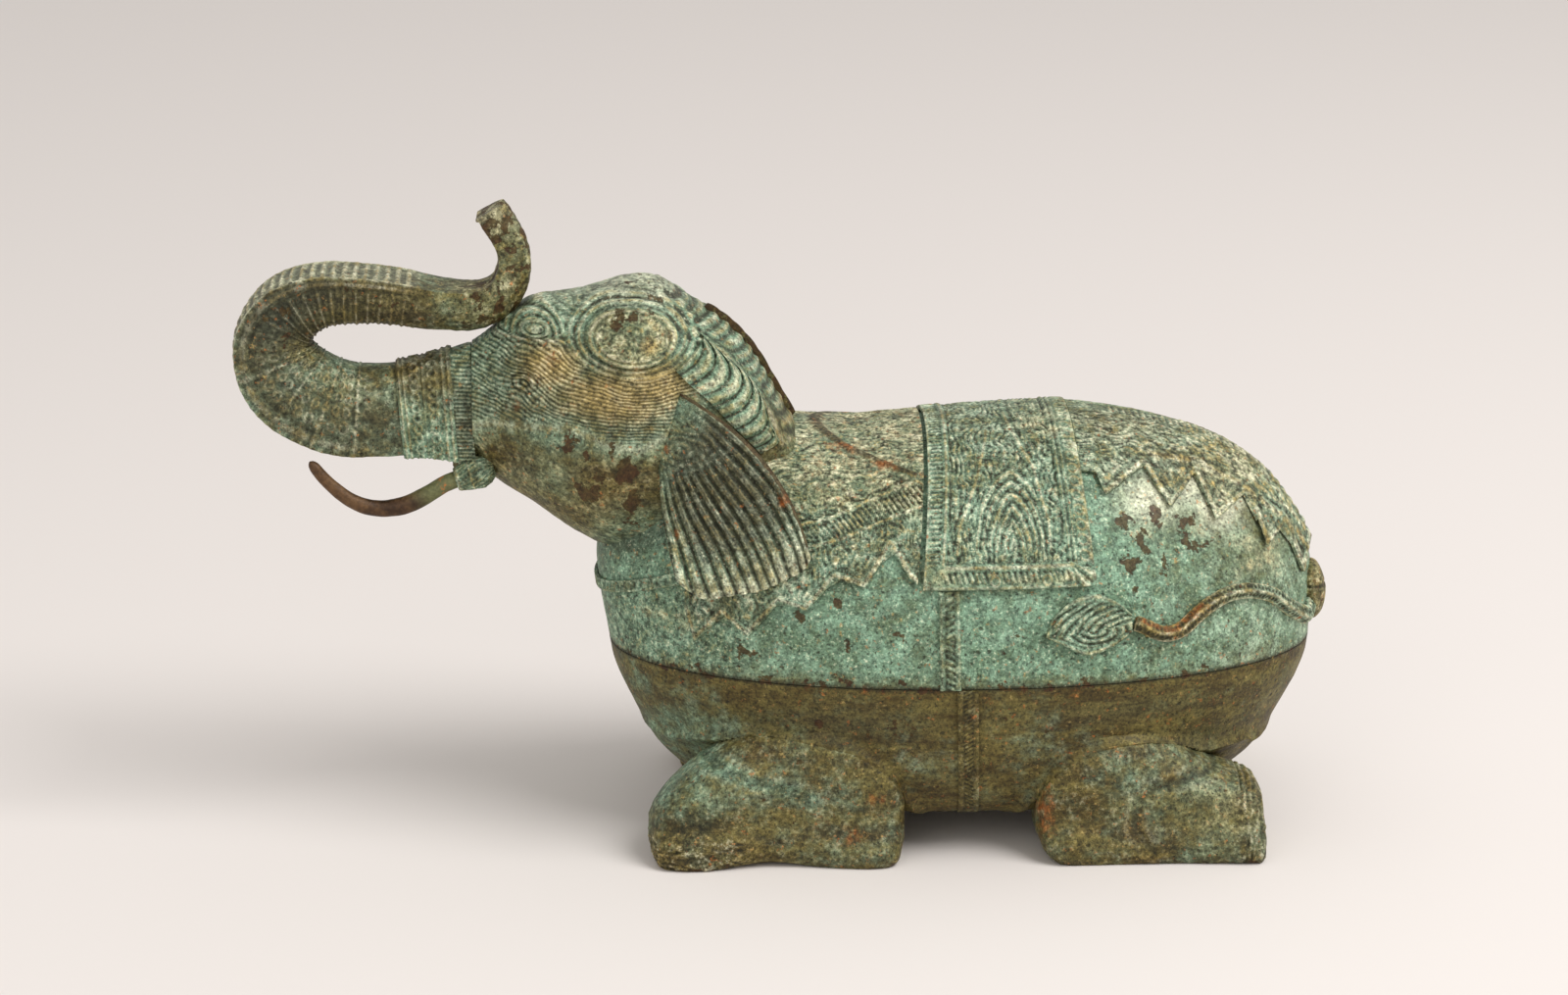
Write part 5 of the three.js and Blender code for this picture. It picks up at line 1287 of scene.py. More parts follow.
def make_eyes():
    shares = np.linspace(1, 0.01, 30)
    rise = 0.7 + 1.3 * np.sqrt(np.clip(1 - (shares / 0.55) ** 2, 0, 1)) + 0.5 * bell(shares - 0.85, 0.12)
    profile = [(0.01, 0), (0.6, 0), (0.97, 0), (1.0, 0.3)] + list(zip(shares, rise))
    rings = head_oval_rings(EYE, EYE_SIZE, profile, 72)
    relief = np.concatenate([[0] * 4, 0.5 - 1.3 * bell(shares - 0.62, 0.1)])[:, None]
    made = close_tube(rings, teal=0.5, ochre=0.35, relief=relief, carve=0.3)
    dress_pair("{}_eyeball", "{}_eye", made)


NECK_RIBS = 9
# Rows: place in the series, then x and z of the top and of the foot of a rib.
NECK_RIB_ENDS = smooth_table([
    [0, 0.685, 0.684, 0.609, 0.479], [0.17, 0.752, 0.547, 0.653, 0.374], [0.33, 0.804, 0.437, 0.704, 0.267],
    [0.5, 0.847, 0.307, 0.747, 0.154], [0.67, 0.869, 0.161, 0.791, 0.039], [0.83, 0.883, 0.009, 0.829, -0.06],
    [1, 0.898, -0.1, 0.859, -0.147]])


def make_neck_ribs():
    along, t = unit_grid(193, 81)
    top_x, top_z, foot_x, foot_z = NECK_RIB_ENDS(along)
    bow = 4 * t * (1 - t)
    x = MUZZLE_X + HEAD_LENGTH * lerp(top_x, foot_x, t) + 5 * bow
    z = HEAD_Z + HEAD_HALF_HEIGHT * lerp(top_z, foot_z, t) + 2.5 * bow
    phase = (along - 0.28 * t - 0.12 * bow) * NECK_RIBS * 0.9
    phase = phase + 0.1 * noise(np.stack([x, 0 * x, z], -1), 8, 51)
    rib = np.abs(np.sin(np.pi * phase)) ** 0.8
    fade = np.sin(np.pi * t) ** 0.7
    rise = 0.8 + 2.0 * rib * fade
    top, bottom = on_head(x, z, ORNAMENT_GAP + rise), on_head(x, z, 0.1)
    made = sheet_solid(
        top, bottom, teal=0.74, wear=0.18, ochre=0.14 + 0.3 * rib, flake=0.1, relief=1.8 * rib - 1.15,
        carve=0.3)
    dress_pair("{}_ribs", "{}_neck_ribs", made)


MANE_FROM = 0.7
MANE_TO = 0.965
MANE_NOTCHES = 7
MANE_HEIGHT = 2.5


def make_mane():
    share, up = np.linspace(MANE_FROM, MANE_TO, 161)[:, None], np.linspace(0, 1, 17)[None, :]
    wave = np.abs(np.sin(np.pi * MANE_NOTCHES * (share - MANE_FROM) / (MANE_TO - MANE_FROM)))
    tooth = MANE_HEIGHT * math.sqrt(0.5) * (0.85 + 0.15 * wave**0.6)
    out = lerp(-4, tooth, up)
    x = MUZZLE_X + share * HEAD_LENGTH + out
    z = HEAD_Z + HEAD_SHAPE(share)[0] * HEAD_HALF_HEIGHT + out
    half = 1.3 * np.sqrt(np.clip(1 - 0.75 * up**3, 0.05, 1)) + 0 * x
    left, right = np.stack([x, -half, z], -1), np.stack([x, half, z], -1)
    made = sheet_solid(left, right, coarse=4, teal=0.1, flake=0.6, dark=0.3, relief=0.5 * wave - 0.4)
    dress("mane", "mane_crest", made)


# Trunk with its ribs, rings of small ornament and collar

RIB_PITCH = 4.4
DIVISION_PITCH = 13.5


def trunk_relief(shares, place, length, axis_length):
    """Ribs on the face between two rim lines, then radial bands with rows of rings on the sides."""
    face = ramp(np.abs(place), 1.02, 0.98)[None, :]
    ribbed = ramp(shares, 0.115, 0.135) * ramp(shares, 0.64, 0.62)
    rim = bell(np.abs(place) - 0.93, 0.06)[None, :]
    crest = np.clip(1.5 * waves(length, RIB_PITCH) - 0.35, -0.55, 0.9)
    relief = face * ribbed * (crest * (1 - rim) + 0.8 * rim)
    turned = np.where(place > 1, place - 1, 9.0)
    across = np.minimum(turned, 2 - turned)[None, :] * 40
    side = (1 - face) * ramp(shares, 0.1, 0.14) * ramp(shares, 0.66, 0.6)
    division = thread((axis_length % DIVISION_PITCH) - DIVISION_PITCH / 2, 0.5)
    relief += side * ramp(shares, 0.4, 0.33) * 0.8 * division
    row_u, row_v = (axis_length % 4.5) - 2.25, (across % 5.0) - 2.5
    rows = side * ramp(shares, 0.4, 0.3) * ramp(across, 2, 4) * ramp(across, 34, 30)
    small = np.hypot(row_u, row_v)
    relief += rows * (0.8 * bell(small - 1.4, 0.5) - 0.5 * bell(small, 0.5))
    upper = side * ramp(shares, 0.34, 0.42)
    relief += upper * thread((axis_length % 4.9) - 2.45, 0.45) * ramp(across, 3, 6)
    relief += side * (0.8 * bell(across - 2.0, 0.9) - 0.7 * bell(across - 4.2, 0.8))
    return relief, face, ribbed


def make_trunk():
    fine = np.linspace(0, 1, 4000)
    ax, az = trunk_axis(fine)
    outer = trunk_rings(fine, 0.0, 2, 2)[0][:, 1]
    travelled = np.concatenate([[0], np.cumsum(np.linalg.norm(np.diff(outer, axis=0), axis=1))])
    mean = np.concatenate([[0], np.cumsum(np.hypot(np.diff(ax), np.diff(az)))])
    even = 0.6 * travelled / travelled[-1] + 0.4 * mean / mean[-1]
    shares = np.interp(np.linspace(0, 1, 420), even, fine)
    rings, place = trunk_rings(shares, 0.0, 44, 96)
    length, axis_length = (np.interp(shares, fine, v)[:, None] for v in (travelled, mean))
    shares = shares[:, None]
    relief, face, ribbed = trunk_relief(shares, place, length, axis_length)
    tip = ramp(shares, 0.62, 0.78)
    height = 0.55 * relief + 0.25 * fractal(rings, 9, 3, 71) * (1 + tip)
    height = height + (0.1 + 0.25 * tip) * noise(rings, 2.4, 73)
    notch = ramp(shares, 0.985, 1.0) * bell(rings[..., 1], 2.5)
    rings = raised(rings, height * ramp(shares, 0.0, 0.01))
    rings[..., 2] -= 2.2 * notch
    x, z = side_view(rings)
    # lit is a painted highlight on the upper ribbed face; under is painted shade on the sides of the loop's
    # returning part.
    lit = face * ribbed * ramp(z, 195, 225)
    under = (1 - face) * ramp(shares, 0.3, 0.42) * ramp(shares, 0.7, 0.62)
    bend = (1 - face) * spot(x, z, -282, 208, 16, 26)
    root = ramp(shares, 0.022, 0.016)
    inner = ramp(np.where(place > 1, place - 1, 0.0), 1.25, 1.8)[None, :] * ramp(shares, 0.6, 0.4)
    made = close_tube(
        rings, teal=0.42 - 0.15 * tip - 0.3 * under - 0.2 * bend + 0.2 * root,
        ochre=0.18 + 0.15 * lit + 0.25 * tip + 0.08 * face,
        wear=0.16 + 0.34 * lit + 0.3 * ramp(shares, 0.93, 1.0), dark=0.42 * under + 0.25 * bend + 0.6 * inner,
        flake=0.12 + 0.3 * tip + 0.1 * under + 0.1 * bend, relief=relief, carve=0.35 + 0.3 * tip,
        comb=z / COMB_PITCH, comb_amp=root)
    dress("trunk_visual", "trunk", made, slot="olive_patina", sharp=60)


# The collar starts at this share of the trunk's course, of which one reach is another share.
COLLAR_START = 0.018
REACH_SHARE = 0.22
COLLAR_LENGTH = 23
COLLAR_RISE = 1.15


def make_trunk_collar():
    f = np.linspace(0, 1, 120)
    shares = COLLAR_START + f * COLLAR_LENGTH / TRUNK_REACH * REACH_SHARE
    mm = f[:, None] * COLLAR_LENGTH
    rings = trunk_rings(shares, COLLAR_RISE, 44, 130)[0]
    bands = sum(bell(mm - at, 0.75) for at in (1.2, 3.4, 19.4, 21.6))
    middle = rings[60]
    around = np.cumsum(np.linalg.norm(np.diff(middle, axis=0, prepend=middle[-1:]), axis=1))[None, :]
    beads = 0
    for centre in (7.6, 15):
        small = np.hypot(mm - centre, around % 4.4 - 2.2)
        beads = beads + bell(small - 1.7, 0.6) - 0.7 * bell(small, 0.6)
    relief = 0.95 * bands + 0.9 * beads + 0.7 * bell(mm - 11.3, 0.5) - 0.3
    rings = raised(rings, 0.75 * relief)
    inner = trunk_rings(shares[::-1][::12], GAP, 44, 130)[0]
    loop = np.concatenate([rings, inner])
    relief = np.concatenate([relief, np.zeros((len(inner), relief.shape[1]))])
    shade = ramp(loop[..., 2], ROOT_Z - 2, ROOT_Z + 12)
    values = paint(
        loop, teal=0.66 - 0.34 * shade, ochre=0.2, wear=0.22, dark=0.2 * shade,
        relief=relief * (1 - 0.3 * shade), carve=0.4)
    rows, columns = loop.shape[:2]
    j = np.arange(columns)
    k = (j + 1) % columns
    last = (rows - 1) * columns
    faces = [grid_faces(rows, columns, wrap=True), np.stack([last + j, last + k, k, j], -1)]
    dress("collar", "trunk_collar", (loop.reshape(-1, 3), faces, flat_values(values, (rows, columns))))


# Tusk, stub and cuffs

# Rows: share of the course, reach in front of the cuff, height, thickness.
TUSK = smooth_table([
    [0, -0.12, 0.08, 1.05], [0.15, 0.07, -0.22, 1.05], [0.3, 0.22, -0.62, 1.08], [0.45, 0.36, -0.88, 1.08],
    [0.6, 0.52, -0.94, 1], [0.75, 0.68, -0.69, 0.9], [0.88, 0.82, -0.16, 0.8], [1, 0.945, 0.54, 0.62]])
CUFF_X = MUZZLE_X - 6.5
CUFF_Z = HEAD_Z - 22.8
TUSK_HALF_SPACING = 15.5
TUSK_SPREAD = 4
TUSK_REACH = 64
TUSK_DROP = 14
TUSK_RADIUS = 3.4


def tusk_course(shares):
    forward, drop, thick = TUSK(shares)
    y = -TUSK_HALF_SPACING - TUSK_SPREAD * shares
    course = np.stack([CUFF_X - forward * TUSK_REACH, y, CUFF_Z + drop * TUSK_DROP], -1)
    return course, thick * TUSK_RADIUS


def rounded_end(radii, length, pitch):
    """Rounds the last part of a bar."""
    left = (np.arange(len(radii))[::-1] * pitch) / length
    return radii * np.sqrt(np.clip(1 - np.clip(1 - left, 0, 1) ** 2, 0.02, 1))


def make_tusks():
    look = dict(slot="dark_bronze", material=DARK)
    shares = np.linspace(0.02, 1, 150)
    course, radii = tusk_course(shares)
    rings = bar_rings(course, rounded_end(radii, 2.6, 0.5), 40)
    rings = raised(rings, 0.22 * fractal(rings, 6, 3, 81))
    green = ramp(shares, 0.5, 0.15)[:, None]
    made = close_tube(rings, teal=0.95 * green, rust=0.5 * spot(shares, shares, 0.17, 0.17, 0.06, 9)[:, None])
    dress("tusk", "left_tusk", made, **look)
    course, radii = tusk_course(np.linspace(0.02, 0.13, 24))
    rings = bar_rings(course, radii, 40) * [1, -1, 1]
    rings[-1, :, 0] += 1.2 * noise(rings[-1], 3, 5)
    dress("tusk_stub", "right_tusk_stub", close_tube(rings, teal=0.5), **look)


def make_cuffs():
    root = np.array([CUFF_X + 15, -TUSK_HALF_SPACING, CUFF_Z + 3])
    front = tusk_course(np.array(0.1))[0]
    f = np.linspace(0, 1, 90)
    radii = np.interp(f, [0, 0.15, 0.35, 0.7, 0.92, 1], [0.45, 0.8, 1, 0.88, 0.76, 0.68]) * 6.6
    rings = bar_rings(root + (front - root) * f[:, None], radii, 72)
    angle = np.arange(72) / 72
    hatch = waves(angle[None, :] * 18 + f[:, None] * 3)
    band = bell(f - 0.94, 0.05)[:, None] + bell(f - 0.6, 0.03)[:, None]
    relief = 0.7 * hatch * (1 - np.clip(band, 0, 1)) + 0.9 * band
    rings = raised(rings, 0.4 * relief)
    made = close_tube(rings, teal=0.6, ochre=0.26, wear=0.14, relief=0.8 * relief, carve=0.4)
    dress_pair("{}_cuff", "{}_tusk_cuff", made)


# Ears

def make_ears():
    fan, along = unit_grid(241, 97)
    base = ear_point(fan, along)
    x, z = side_view(base)
    phase = fan * EAR_FLUTES + 0.12 * np.sin(2 * np.pi * along) + 0.1 * noise(base, 12, 55)
    ridge = 1 - np.abs(np.cos(np.pi * phase)) ** 7
    open_up = np.minimum(3 * along, 1)
    hem, rim = ramp(1 - along, 0.05, 0.03), ramp(fan, 0.962, 0.985)
    strokes = np.cos(2 * np.pi * phase * 3) * (0.5 + 0.5 * noise(base, 6, 56))
    relief = ((1.5 * ridge - 1.0) * open_up + 0.28 * strokes * open_up) * (1 - rim) + 0.6 * rim
    lobe = np.hypot((x + 119) * 0.8, (z - 171) * 1.3) + 2.5 * noise(base, 8, 57)
    where = ramp(lobe, 13, 10)
    relief = lerp(relief, 0.5 * waves(lobe, 3.4), where)
    flute = -1.3 * np.cos(2 * np.pi * EAR_FLUTES * fan) * open_up
    top, bottom = base.copy(), base.copy()
    uneven = 0.3 * fractal(base, 10, 2, 91)
    top[..., 1] -= EAR_THICKNESS / 2 + 0.35 * flute + 0.5 * relief + 0.5 * hem + uneven
    bottom[..., 1] += EAR_THICKNESS / 2 + 0.5 * flute
    middle = ramp(along, 0.02, 0.2) * ramp(along, 0.98, 0.6) * ramp(fan, 0.0, 0.3)
    fringe = ramp(along, 0.72, 1.0)
    made = sheet_solid(
        top, bottom, teal=0.62 - 0.1 * middle, wear=0.1 + 0.5 * fringe,
        ochre=0.12 + 0.3 * ramp(along, 0.85, 1.0),
        dark=(0.3 + 0.7 * middle) * (1 - rim) * (1 - fringe), relief=relief, carve=0.4,
        flake=0.75 * rim * ramp(along, 1, 0.9) + 0.1,
        rust=0.7 * spots(x, z, [(-125, 171, 3.5, 3), (-120, 138, 1.5, 3), (-77, 153, 3, 5)]))
    dress_pair("{}_ear_fan", "{}_ear", made, sharp=60)


# Tail, knob and tuft

TAIL_COURSE = [
    (0.985, 0.106), (0.916, 0.193), (0.857, 0.275), (0.789, 0.32), (0.723, 0.328), (0.669, 0.304),
    (0.628, 0.269), (0.574, 0.213), (0.522, 0.207), (0.471, 0.246), (0.438, 0.266)]
TAIL_RADIUS = 2.56
TAIL_RINGS = 320
KNOB_RADIUS = 7.4
KNOB_SHAPE = [0.8, 1.6, 1.7]
TAIL_PLACES = [(along * HALF_LENGTH, SEAM_Z + up * LID_HEIGHT) for along, up in TAIL_COURSE]


def lid_half_width(x, z, offset):
    return np.abs(on_lid(x, arch_at(x, z), offset)[..., 1])


def make_tail():
    end_x, end_z = TAIL_PLACES[-1]
    course = smooth_course(TAIL_PLACES + [(end_x - 2.6, end_z - 0.6)], 260)
    y = -lid_half_width(np.minimum(course[:, 0], 145.5), course[:, 1], GAP + TAIL_RADIUS)
    knob_x, knob_z = crest_point(np.array(0.968))
    knob = np.array([knob_x - 1, -6, knob_z - 1.5])
    course = np.stack([course[:, 0], y, course[:, 1]], -1)
    path = smooth_course(np.concatenate([[knob], course[8::12]]), TAIL_RINGS)
    f = np.linspace(0, 1, TAIL_RINGS)[:, None]
    rings = bar_rings(path, TAIL_RADIUS * (1.55 - 0.35 * np.minimum(f[:, 0] / 0.42, 1)), 48)
    turn = np.arange(48)[None, :] / 48
    lines = np.cos(2 * np.pi * turn * 5)
    hatch = waves(f * 62 + 2 * turn) * ramp(lines, 0.2, -0.4)
    relief = 0.8 * lines + 0.5 * hatch
    rings = raised(rings, 0.32 * relief)
    upper = ramp(rings[..., 2] - path[:, None, 2], 0.5, 2)
    orange = upper * ramp(f, 0.6, 0.76)
    brown = ramp(f, 0.35, 0.6)
    rope, rope_faces, rope_flat = close_tube(
        rings, teal=0.6 - 0.35 * brown, ochre=0.25, rust=0.36 * orange + 0.2 * brown,
        wear=0.12 + 0.2 * (1 - brown), relief=relief, carve=0.6)
    across = np.linspace(0.004, 0.996, 60)[:, None] * np.pi
    around = 2 * np.pi * np.arange(80)[None, :] / 80
    direction = np.stack(np.broadcast_arrays(
        np.sin(across) * np.cos(around), np.sin(across) * np.sin(around), np.cos(across)), -1)
    groove = bell(direction[..., 2] - 0.3, 0.06)
    size = KNOB_RADIUS * (1 + 0.07 * fractal(direction * 10, 8, 3, 3) - 0.06 * groove)
    ball = knob + direction * size[..., None] * KNOB_SHAPE
    ball_points, ball_faces, ball_flat = close_tube(
        ball, teal=0.25, ochre=0.5, rust=0.3, relief=-groove, flake=0.3, wear=0.2, carve=0.8)
    rope_faces, ball_faces = face_out(rope, rope_faces), face_out(ball_points - knob, ball_faces)
    points = np.concatenate([press_into_wall(p, np.array([100.0, 0, 80])) for p in (rope, ball_points)])
    faces = rope_faces + [f + len(rope) for f in ball_faces]
    values = {k: np.concatenate([rope_flat[k], ball_flat[k]]) for k in rope_flat}
    dress("tail_band", "tail", (points, faces, values), slot="ochre_patina", sharp=60)


TUFT_LENGTH = 35
TUFT_HEIGHT = 24
TUFT_TOP = smooth_table([[0, 0.15], [0.15, 0.345], [0.4, 0.515], [0.655, 0.455], [0.91, 0.18], [1, -0.1]])
TUFT_FOOT = smooth_table([[0, -0.14], [0.235, -0.355], [0.53, -0.475], [0.785, -0.3], [1, -0.14]])


def make_tuft():
    end_x, end_z = TAIL_PLACES[-1]
    a, b = unit_grid(121, 81)
    x = end_x - 1.3 - TUFT_LENGTH * a + 0 * b
    z = end_z - 0.9 + TUFT_HEIGHT * lerp(TUFT_FOOT(a)[0], TUFT_TOP(a)[0], b)
    edge = np.minimum(np.minimum(b, 1 - b) * 18, (1 - a) * 30 + 0.4)
    leaf = np.hypot((a - 0.45) * 28, (z - end_z + 3) * 1.5)
    feather = np.where(z > end_z - 1 - 4 * a, np.hypot((a + 0.1) * 30, (z - end_z + 12) * 1.3), leaf)
    feather = feather + 0.8 * noise(plane(x, z), 7, 66)
    relief = ramp(edge, 2.2, 3.2) * 0.9 * waves(feather, 3.0) + thread(edge - 0.9, 0.8)
    arch = arch_at(x, z)
    top, bottom = on_lid(x, arch, GAP + 2.1 + 0.45 * relief), on_lid(x, arch, GAP)
    made = sheet_solid(top, bottom, teal=0.62, wear=0.06, ochre=0.16, relief=0.8 * relief - 0.15, carve=0.5)
    dress("tuft", "tail_tuft", made)


# Straps

STRAP_WIDTH = 8.5
STRAP_THICKNESS = 1.2
STRAP_RELIEF = 0.32


def strap_grid(low, high, rows):
    return np.linspace(low, high, rows)[:, None], np.linspace(-STRAP_WIDTH / 2, STRAP_WIDTH / 2, 41)[None, :]


def hatch_relief(across, along, pitch, lean):
    edges = thread(np.abs(across) - STRAP_WIDTH / 2 + 0.9, 0.7)
    inside = ramp(STRAP_WIDTH / 2 - np.abs(across), 2.2, 2.8)
    return edges + 0.85 * inside * waves(along + lean * across, pitch)


def make_lid_straps():
    z, across = strap_grid(RIM_Z, SADDLE_HEM_Z - GAP, 113)
    x = -10.5 + 1.8 * (SADDLE_HEM_Z - GAP - z) / (SADDLE_HEM_Z - GAP - BELLY_Z) + across
    relief = hatch_relief(across + 0 * z, z, 2.7, 0.5 * np.sign(98 - z))
    arch = arch_at(x, z)
    top, bottom = on_lid(x, arch, GAP + STRAP_THICKNESS + STRAP_RELIEF * relief), on_lid(x, arch, GAP)
    made = sheet_solid(
        top, bottom, teal=0.56, ochre=0.2, wear=0.06, flake=0.12, relief=0.6 * relief - 0.15, carve=0.4)
    dress_pair("lid_{}_strap", "lid_{}_girth_strap", made)


def make_bowl_straps():
    z, across = strap_grid(BELLY_Z + 1.5, SEAM_Z - 0.05, 145)
    x = -3 + 2.5 * (SEAM_Z + GAP - z) / (SEAM_Z + GAP - BELLY_Z - 1.5) + across
    relief = hatch_relief(across + 0 * z, z, 2.0, 0.6 * np.sign(38 - z))
    top, bottom = (np.stack([x, -bowl_side(x, z, offset), z + 0 * x], -1) for offset in (
        GAP + STRAP_THICKNESS + STRAP_RELIEF * relief, GAP))
    made = sheet_solid(
        top, bottom, teal=0.12, ochre=0.12, rust=0.3 * spot(x, z, 0, 60, 8, 14),
        relief=0.45 * relief - 0.3, carve=0.3)
    dress_pair("bowl_{}_strap", "base_{}_girth_strap", made, body="base", slot="olive_patina")


CHEST_BEADS = 44


def make_chest_collar():
    rise = np.linspace(0, BAND_WIDTH, 17)

    def over_band(station, arch, level):
        p = lid_point(station, arch)
        return p[..., 2] - band_foot(p[..., 0]) - level

    def arch_for(station, level):
        none, half = np.zeros(np.shape(station)), np.full(np.shape(station), 0.5)
        return bisect(lambda arch: over_band(station, arch, level) < 0, none, half, 26)[0]

    crest = np.linspace(0.001, 0.4, 2000)
    first = np.array([crest[np.argmax(over_band(crest, 0.5, level) > 0)] for level in rise])
    trial = lerp(first[:, None], 0.36, np.linspace(0, 1, 200)[None, :])
    reach = lid_point(trial, arch_for(trial, rise[:, None]))[..., 0]
    last = np.array([np.interp(BAND_REAR, r, t) for r, t in zip(np.maximum.accumulate(reach, 1), trial)])
    stations = lerp(first[:, None], last[:, None], np.linspace(0, 1, 129)[None, :] ** 2)
    arch = arch_for(stations, rise[:, None])
    stations = np.concatenate([stations[:, ::-1], stations[:, 1:]], 1)
    arch = np.concatenate([arch[:, ::-1], 1 - arch[:, 1:]], 1)
    across = rise[:, None] - BAND_WIDTH / 2
    beads = 0.8 * np.cos(2 * np.pi * np.arange(257) / 257 * CHEST_BEADS)[None, :]
    beads = beads * ramp(np.abs(across), 1.7, 1.2)
    relief = 0.8 * bell(np.abs(across) - 2.0, 0.5) + beads
    top = lid_point(stations, arch, GAP + STRAP_THICKNESS + 0.28 * relief)
    bottom = lid_point(stations, arch, GAP)
    made = sheet_solid(top, bottom, teal=0.66, ochre=0.08, relief=0.6 * relief - 0.1, carve=0.4)
    dress("chest_strap", "chest_collar", made)


# Legs

def front_foot(x, z, heel):
    """Creases, the soft knee and the carved toes of a folded front leg, x from its toe."""
    crease = near(x, z, [(10, 47), (16, 44.5), (28, 42.5), (42, 37), (53, 33), (66, 29)])
    ankle = near(x, z, [(43, 15), (50, 11), (57, 10)])
    knee = near(x, z, [(88, 44), (93, 36), (95, 26), (93, 14)])
    toes = ramp(z, 14, 10) * ramp(x, 44, 36)
    dimple = spot(x, z, 19, 18, 9, 7)
    swirl = scrolls(z, x, 3.2, 83, 5)
    relief = -0.5 * bell(crease, 2.0) + 0.3 * bell(crease - 4, 1.8) + 0.7 * toes * swirl - 0.6 * dimple
    relief += -0.6 * bell(ankle, 1.3) - 0.4 * bell(knee, 1.6)
    relief += -0.5 * bell(z - 16 - 0.1 * x, 1.2) * ramp(x, 46, 40)
    blue = 0.32 * bell(crease, 5) + 0.25 * spot(x, z, 18, 30, 22, 14)
    orange = 0.5 * spots(x, z, [(heel - 22, 14, 8, 6), (heel - 34, 20, 6, 6), (heel - 12, 30, 5, 8)])
    return relief, 0.2 + blue, 0.16, orange, 0.5 * toes + 0.4 * dimple


def rear_foot(x, z, heel):
    """The outline of the foot's lobe, nails near the sole and creases, x back from the sole."""
    back = x - heel
    lobe = near(back, z, [(-6, 40), (-16, 38), (-34, 35), (-48, 31), (-54, 24), (-54, 14), (-46, 5)])
    crease = near(back, z, [(-46, 8), (-30, 6), (-14, 7)])
    nails = ramp(back, -13, -10)
    relief = -0.7 * bell(lobe, 1.6) + 0.35 * bell(lobe - 3.5, 1.6) - 0.5 * bell(crease, 1.0)
    relief += 0.6 * nails * scrolls(back, z, 3.0, 87, 5) - 0.8 * spot(back, z, -30, 41, 2, 2)
    pale = 0.4 * spot(back, z, -22, 22, 26, 12)
    orange = 0.62 * spot(x, z, 3, 22, 6, 16)
    return relief, 0.24 + 0.15 * spot(back, z, -30, 30, 26, 14), 0.16 + pale, orange, 0.25 * nails


def make_leg(name, shape, from_x, to_x, height, sign, tuck, detail):
    shares = 0.5 - 0.5 * np.cos(np.pi * np.linspace(0, 1, 120))
    rings, side = leg_rings(shape, shares, from_x, to_x, height)
    x, z = side_view(rings)
    relief, teal, ochre, rust, carve = detail(x - from_x, z, to_x - from_x)
    grounded = ramp(z, 0.0, 1.2)
    swell = merge_swell(x, z, tuck) * ramp(side, 0, 0.3) * grounded
    dents = 0.6 * relief + 0.6 * fractal(rings, 14, 4, 101)
    rings = raised(rings, dents * grounded)
    rings[..., 1] -= swell
    rings[..., 2] = np.maximum(rings[..., 2], 0)
    points, faces, values = close_tube(
        rings, teal=teal, ochre=ochre, rust=rust, flake=0.16 + 0.2 * bell(z, 3), relief=relief,
        carve=carve + 0.3)
    points = press_into_bowl(points, 2.0) * [1, sign, 1]
    dress(name, f"{name}_leg", (points, faces, values), "base", "olive_patina")


def make_legs():
    for side, sign, tuck in (("left", 1, 0), ("right", -1, TUCK)):
        front = FRONT_LEG, FRONT_FROM + tuck, FRONT_TO, FRONT_HEIGHT
        rear = REAR_LEG, REAR_FROM, REAR_TO, REAR_HEIGHT
        make_leg(f"front_{side}", *front, sign, tuck, front_foot)
        make_leg(f"rear_{side}", *rear, sign, tuck, rear_foot)


# Studio: a pale floor, a large soft light from the upper right and a plain fill

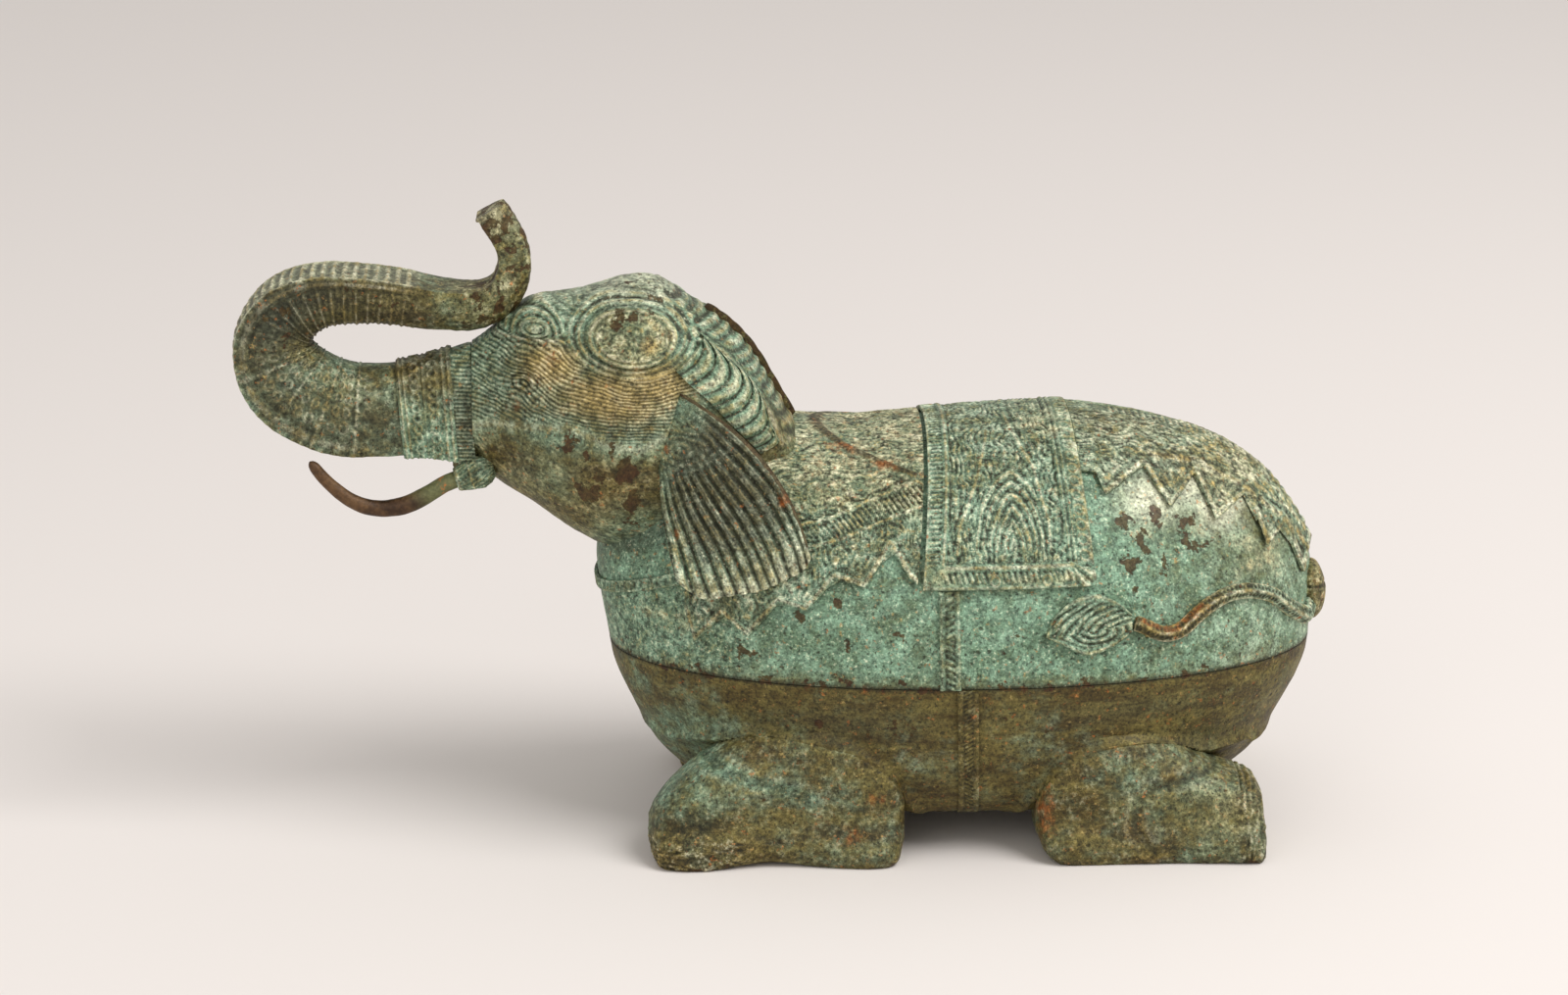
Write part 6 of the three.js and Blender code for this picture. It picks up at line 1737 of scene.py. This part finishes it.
LIGHTS = {"key": ((1.8, -1.1, 2.7), 2.2, 82), "fill": ((-0.6, -1.6, 0.9), 1.2, 4)}
WORLD_STRENGTH = 0.6
LENS_MM = 104.3
CAMERA_DISTANCE = 1.9
CAMERA_AZIMUTH = math.radians(-2.5)
CAMERA_ELEVATION = math.radians(16)
CAMERA_TARGET = np.array([(SHIFT_X - 74) * MM, 0, 0.136])
LIT_PLACE = np.array([0, 0, 0.12])


def make_studio():
    mesh = bpy.data.meshes.new("floor")
    mesh.from_pydata([(-9, -6, 0), (9, -6, 0), (9, 14, 0), (-9, 14, 0)], [], [(0, 1, 2, 3)])
    floor = bpy.data.objects.new("floor", mesh)
    bpy.context.scene.collection.objects.link(floor)
    mesh.materials.append(Shader("floor").finish(srgb(232, 225, 220), 0.85, 0.0))
    world = bpy.data.worlds.new("studio")
    world.use_nodes = True
    background = world.node_tree.nodes["Background"]
    background.inputs["Color"].default_value = (1.0, 0.985, 0.97, 1.0)
    background.inputs["Strength"].default_value = WORLD_STRENGTH
    bpy.context.scene.world = world
    for name, settings in LIGHTS.items():
        add_light(name, *settings)


def add_light(name, position, size, watts):
    data = bpy.data.lights.new(name, "AREA")
    data.shape = "DISK"
    data.size = size
    data.energy = watts
    lamp = bpy.data.objects.new(name, data)
    bpy.context.scene.collection.objects.link(lamp)
    lamp.location = position
    lamp.rotation_euler = look_rotation(LIT_PLACE - np.array(position))


def look_rotation(direction):
    return Vector(direction).to_track_quat("-Z", "Y").to_euler()


def make_camera():
    data = bpy.data.cameras.new("camera")
    data.sensor_width = 36
    data.lens = LENS_MM
    camera = bpy.data.objects.new("camera", data)
    bpy.context.scene.collection.objects.link(camera)
    level = math.cos(CAMERA_ELEVATION)
    back = np.array([
        math.sin(CAMERA_AZIMUTH) * level, -math.cos(CAMERA_AZIMUTH) * level, math.sin(CAMERA_ELEVATION)])
    camera.location = CAMERA_TARGET + back * CAMERA_DISTANCE
    camera.rotation_euler = look_rotation(-back)
    bpy.context.scene.camera = camera


for make in (
        make_bowl, make_lid_shell, make_saddle, make_neck_cloth, make_rump_cloth, make_head,
        make_medallions, make_eyes, make_neck_ribs, make_mane, make_trunk, make_trunk_collar, make_tusks,
        make_cuffs, make_ears, make_tail, make_tuft, make_lid_straps, make_bowl_straps, make_chest_collar,
        make_legs, make_studio, make_camera):
    make()
bpy.context.scene.view_settings.view_transform = "Standard"
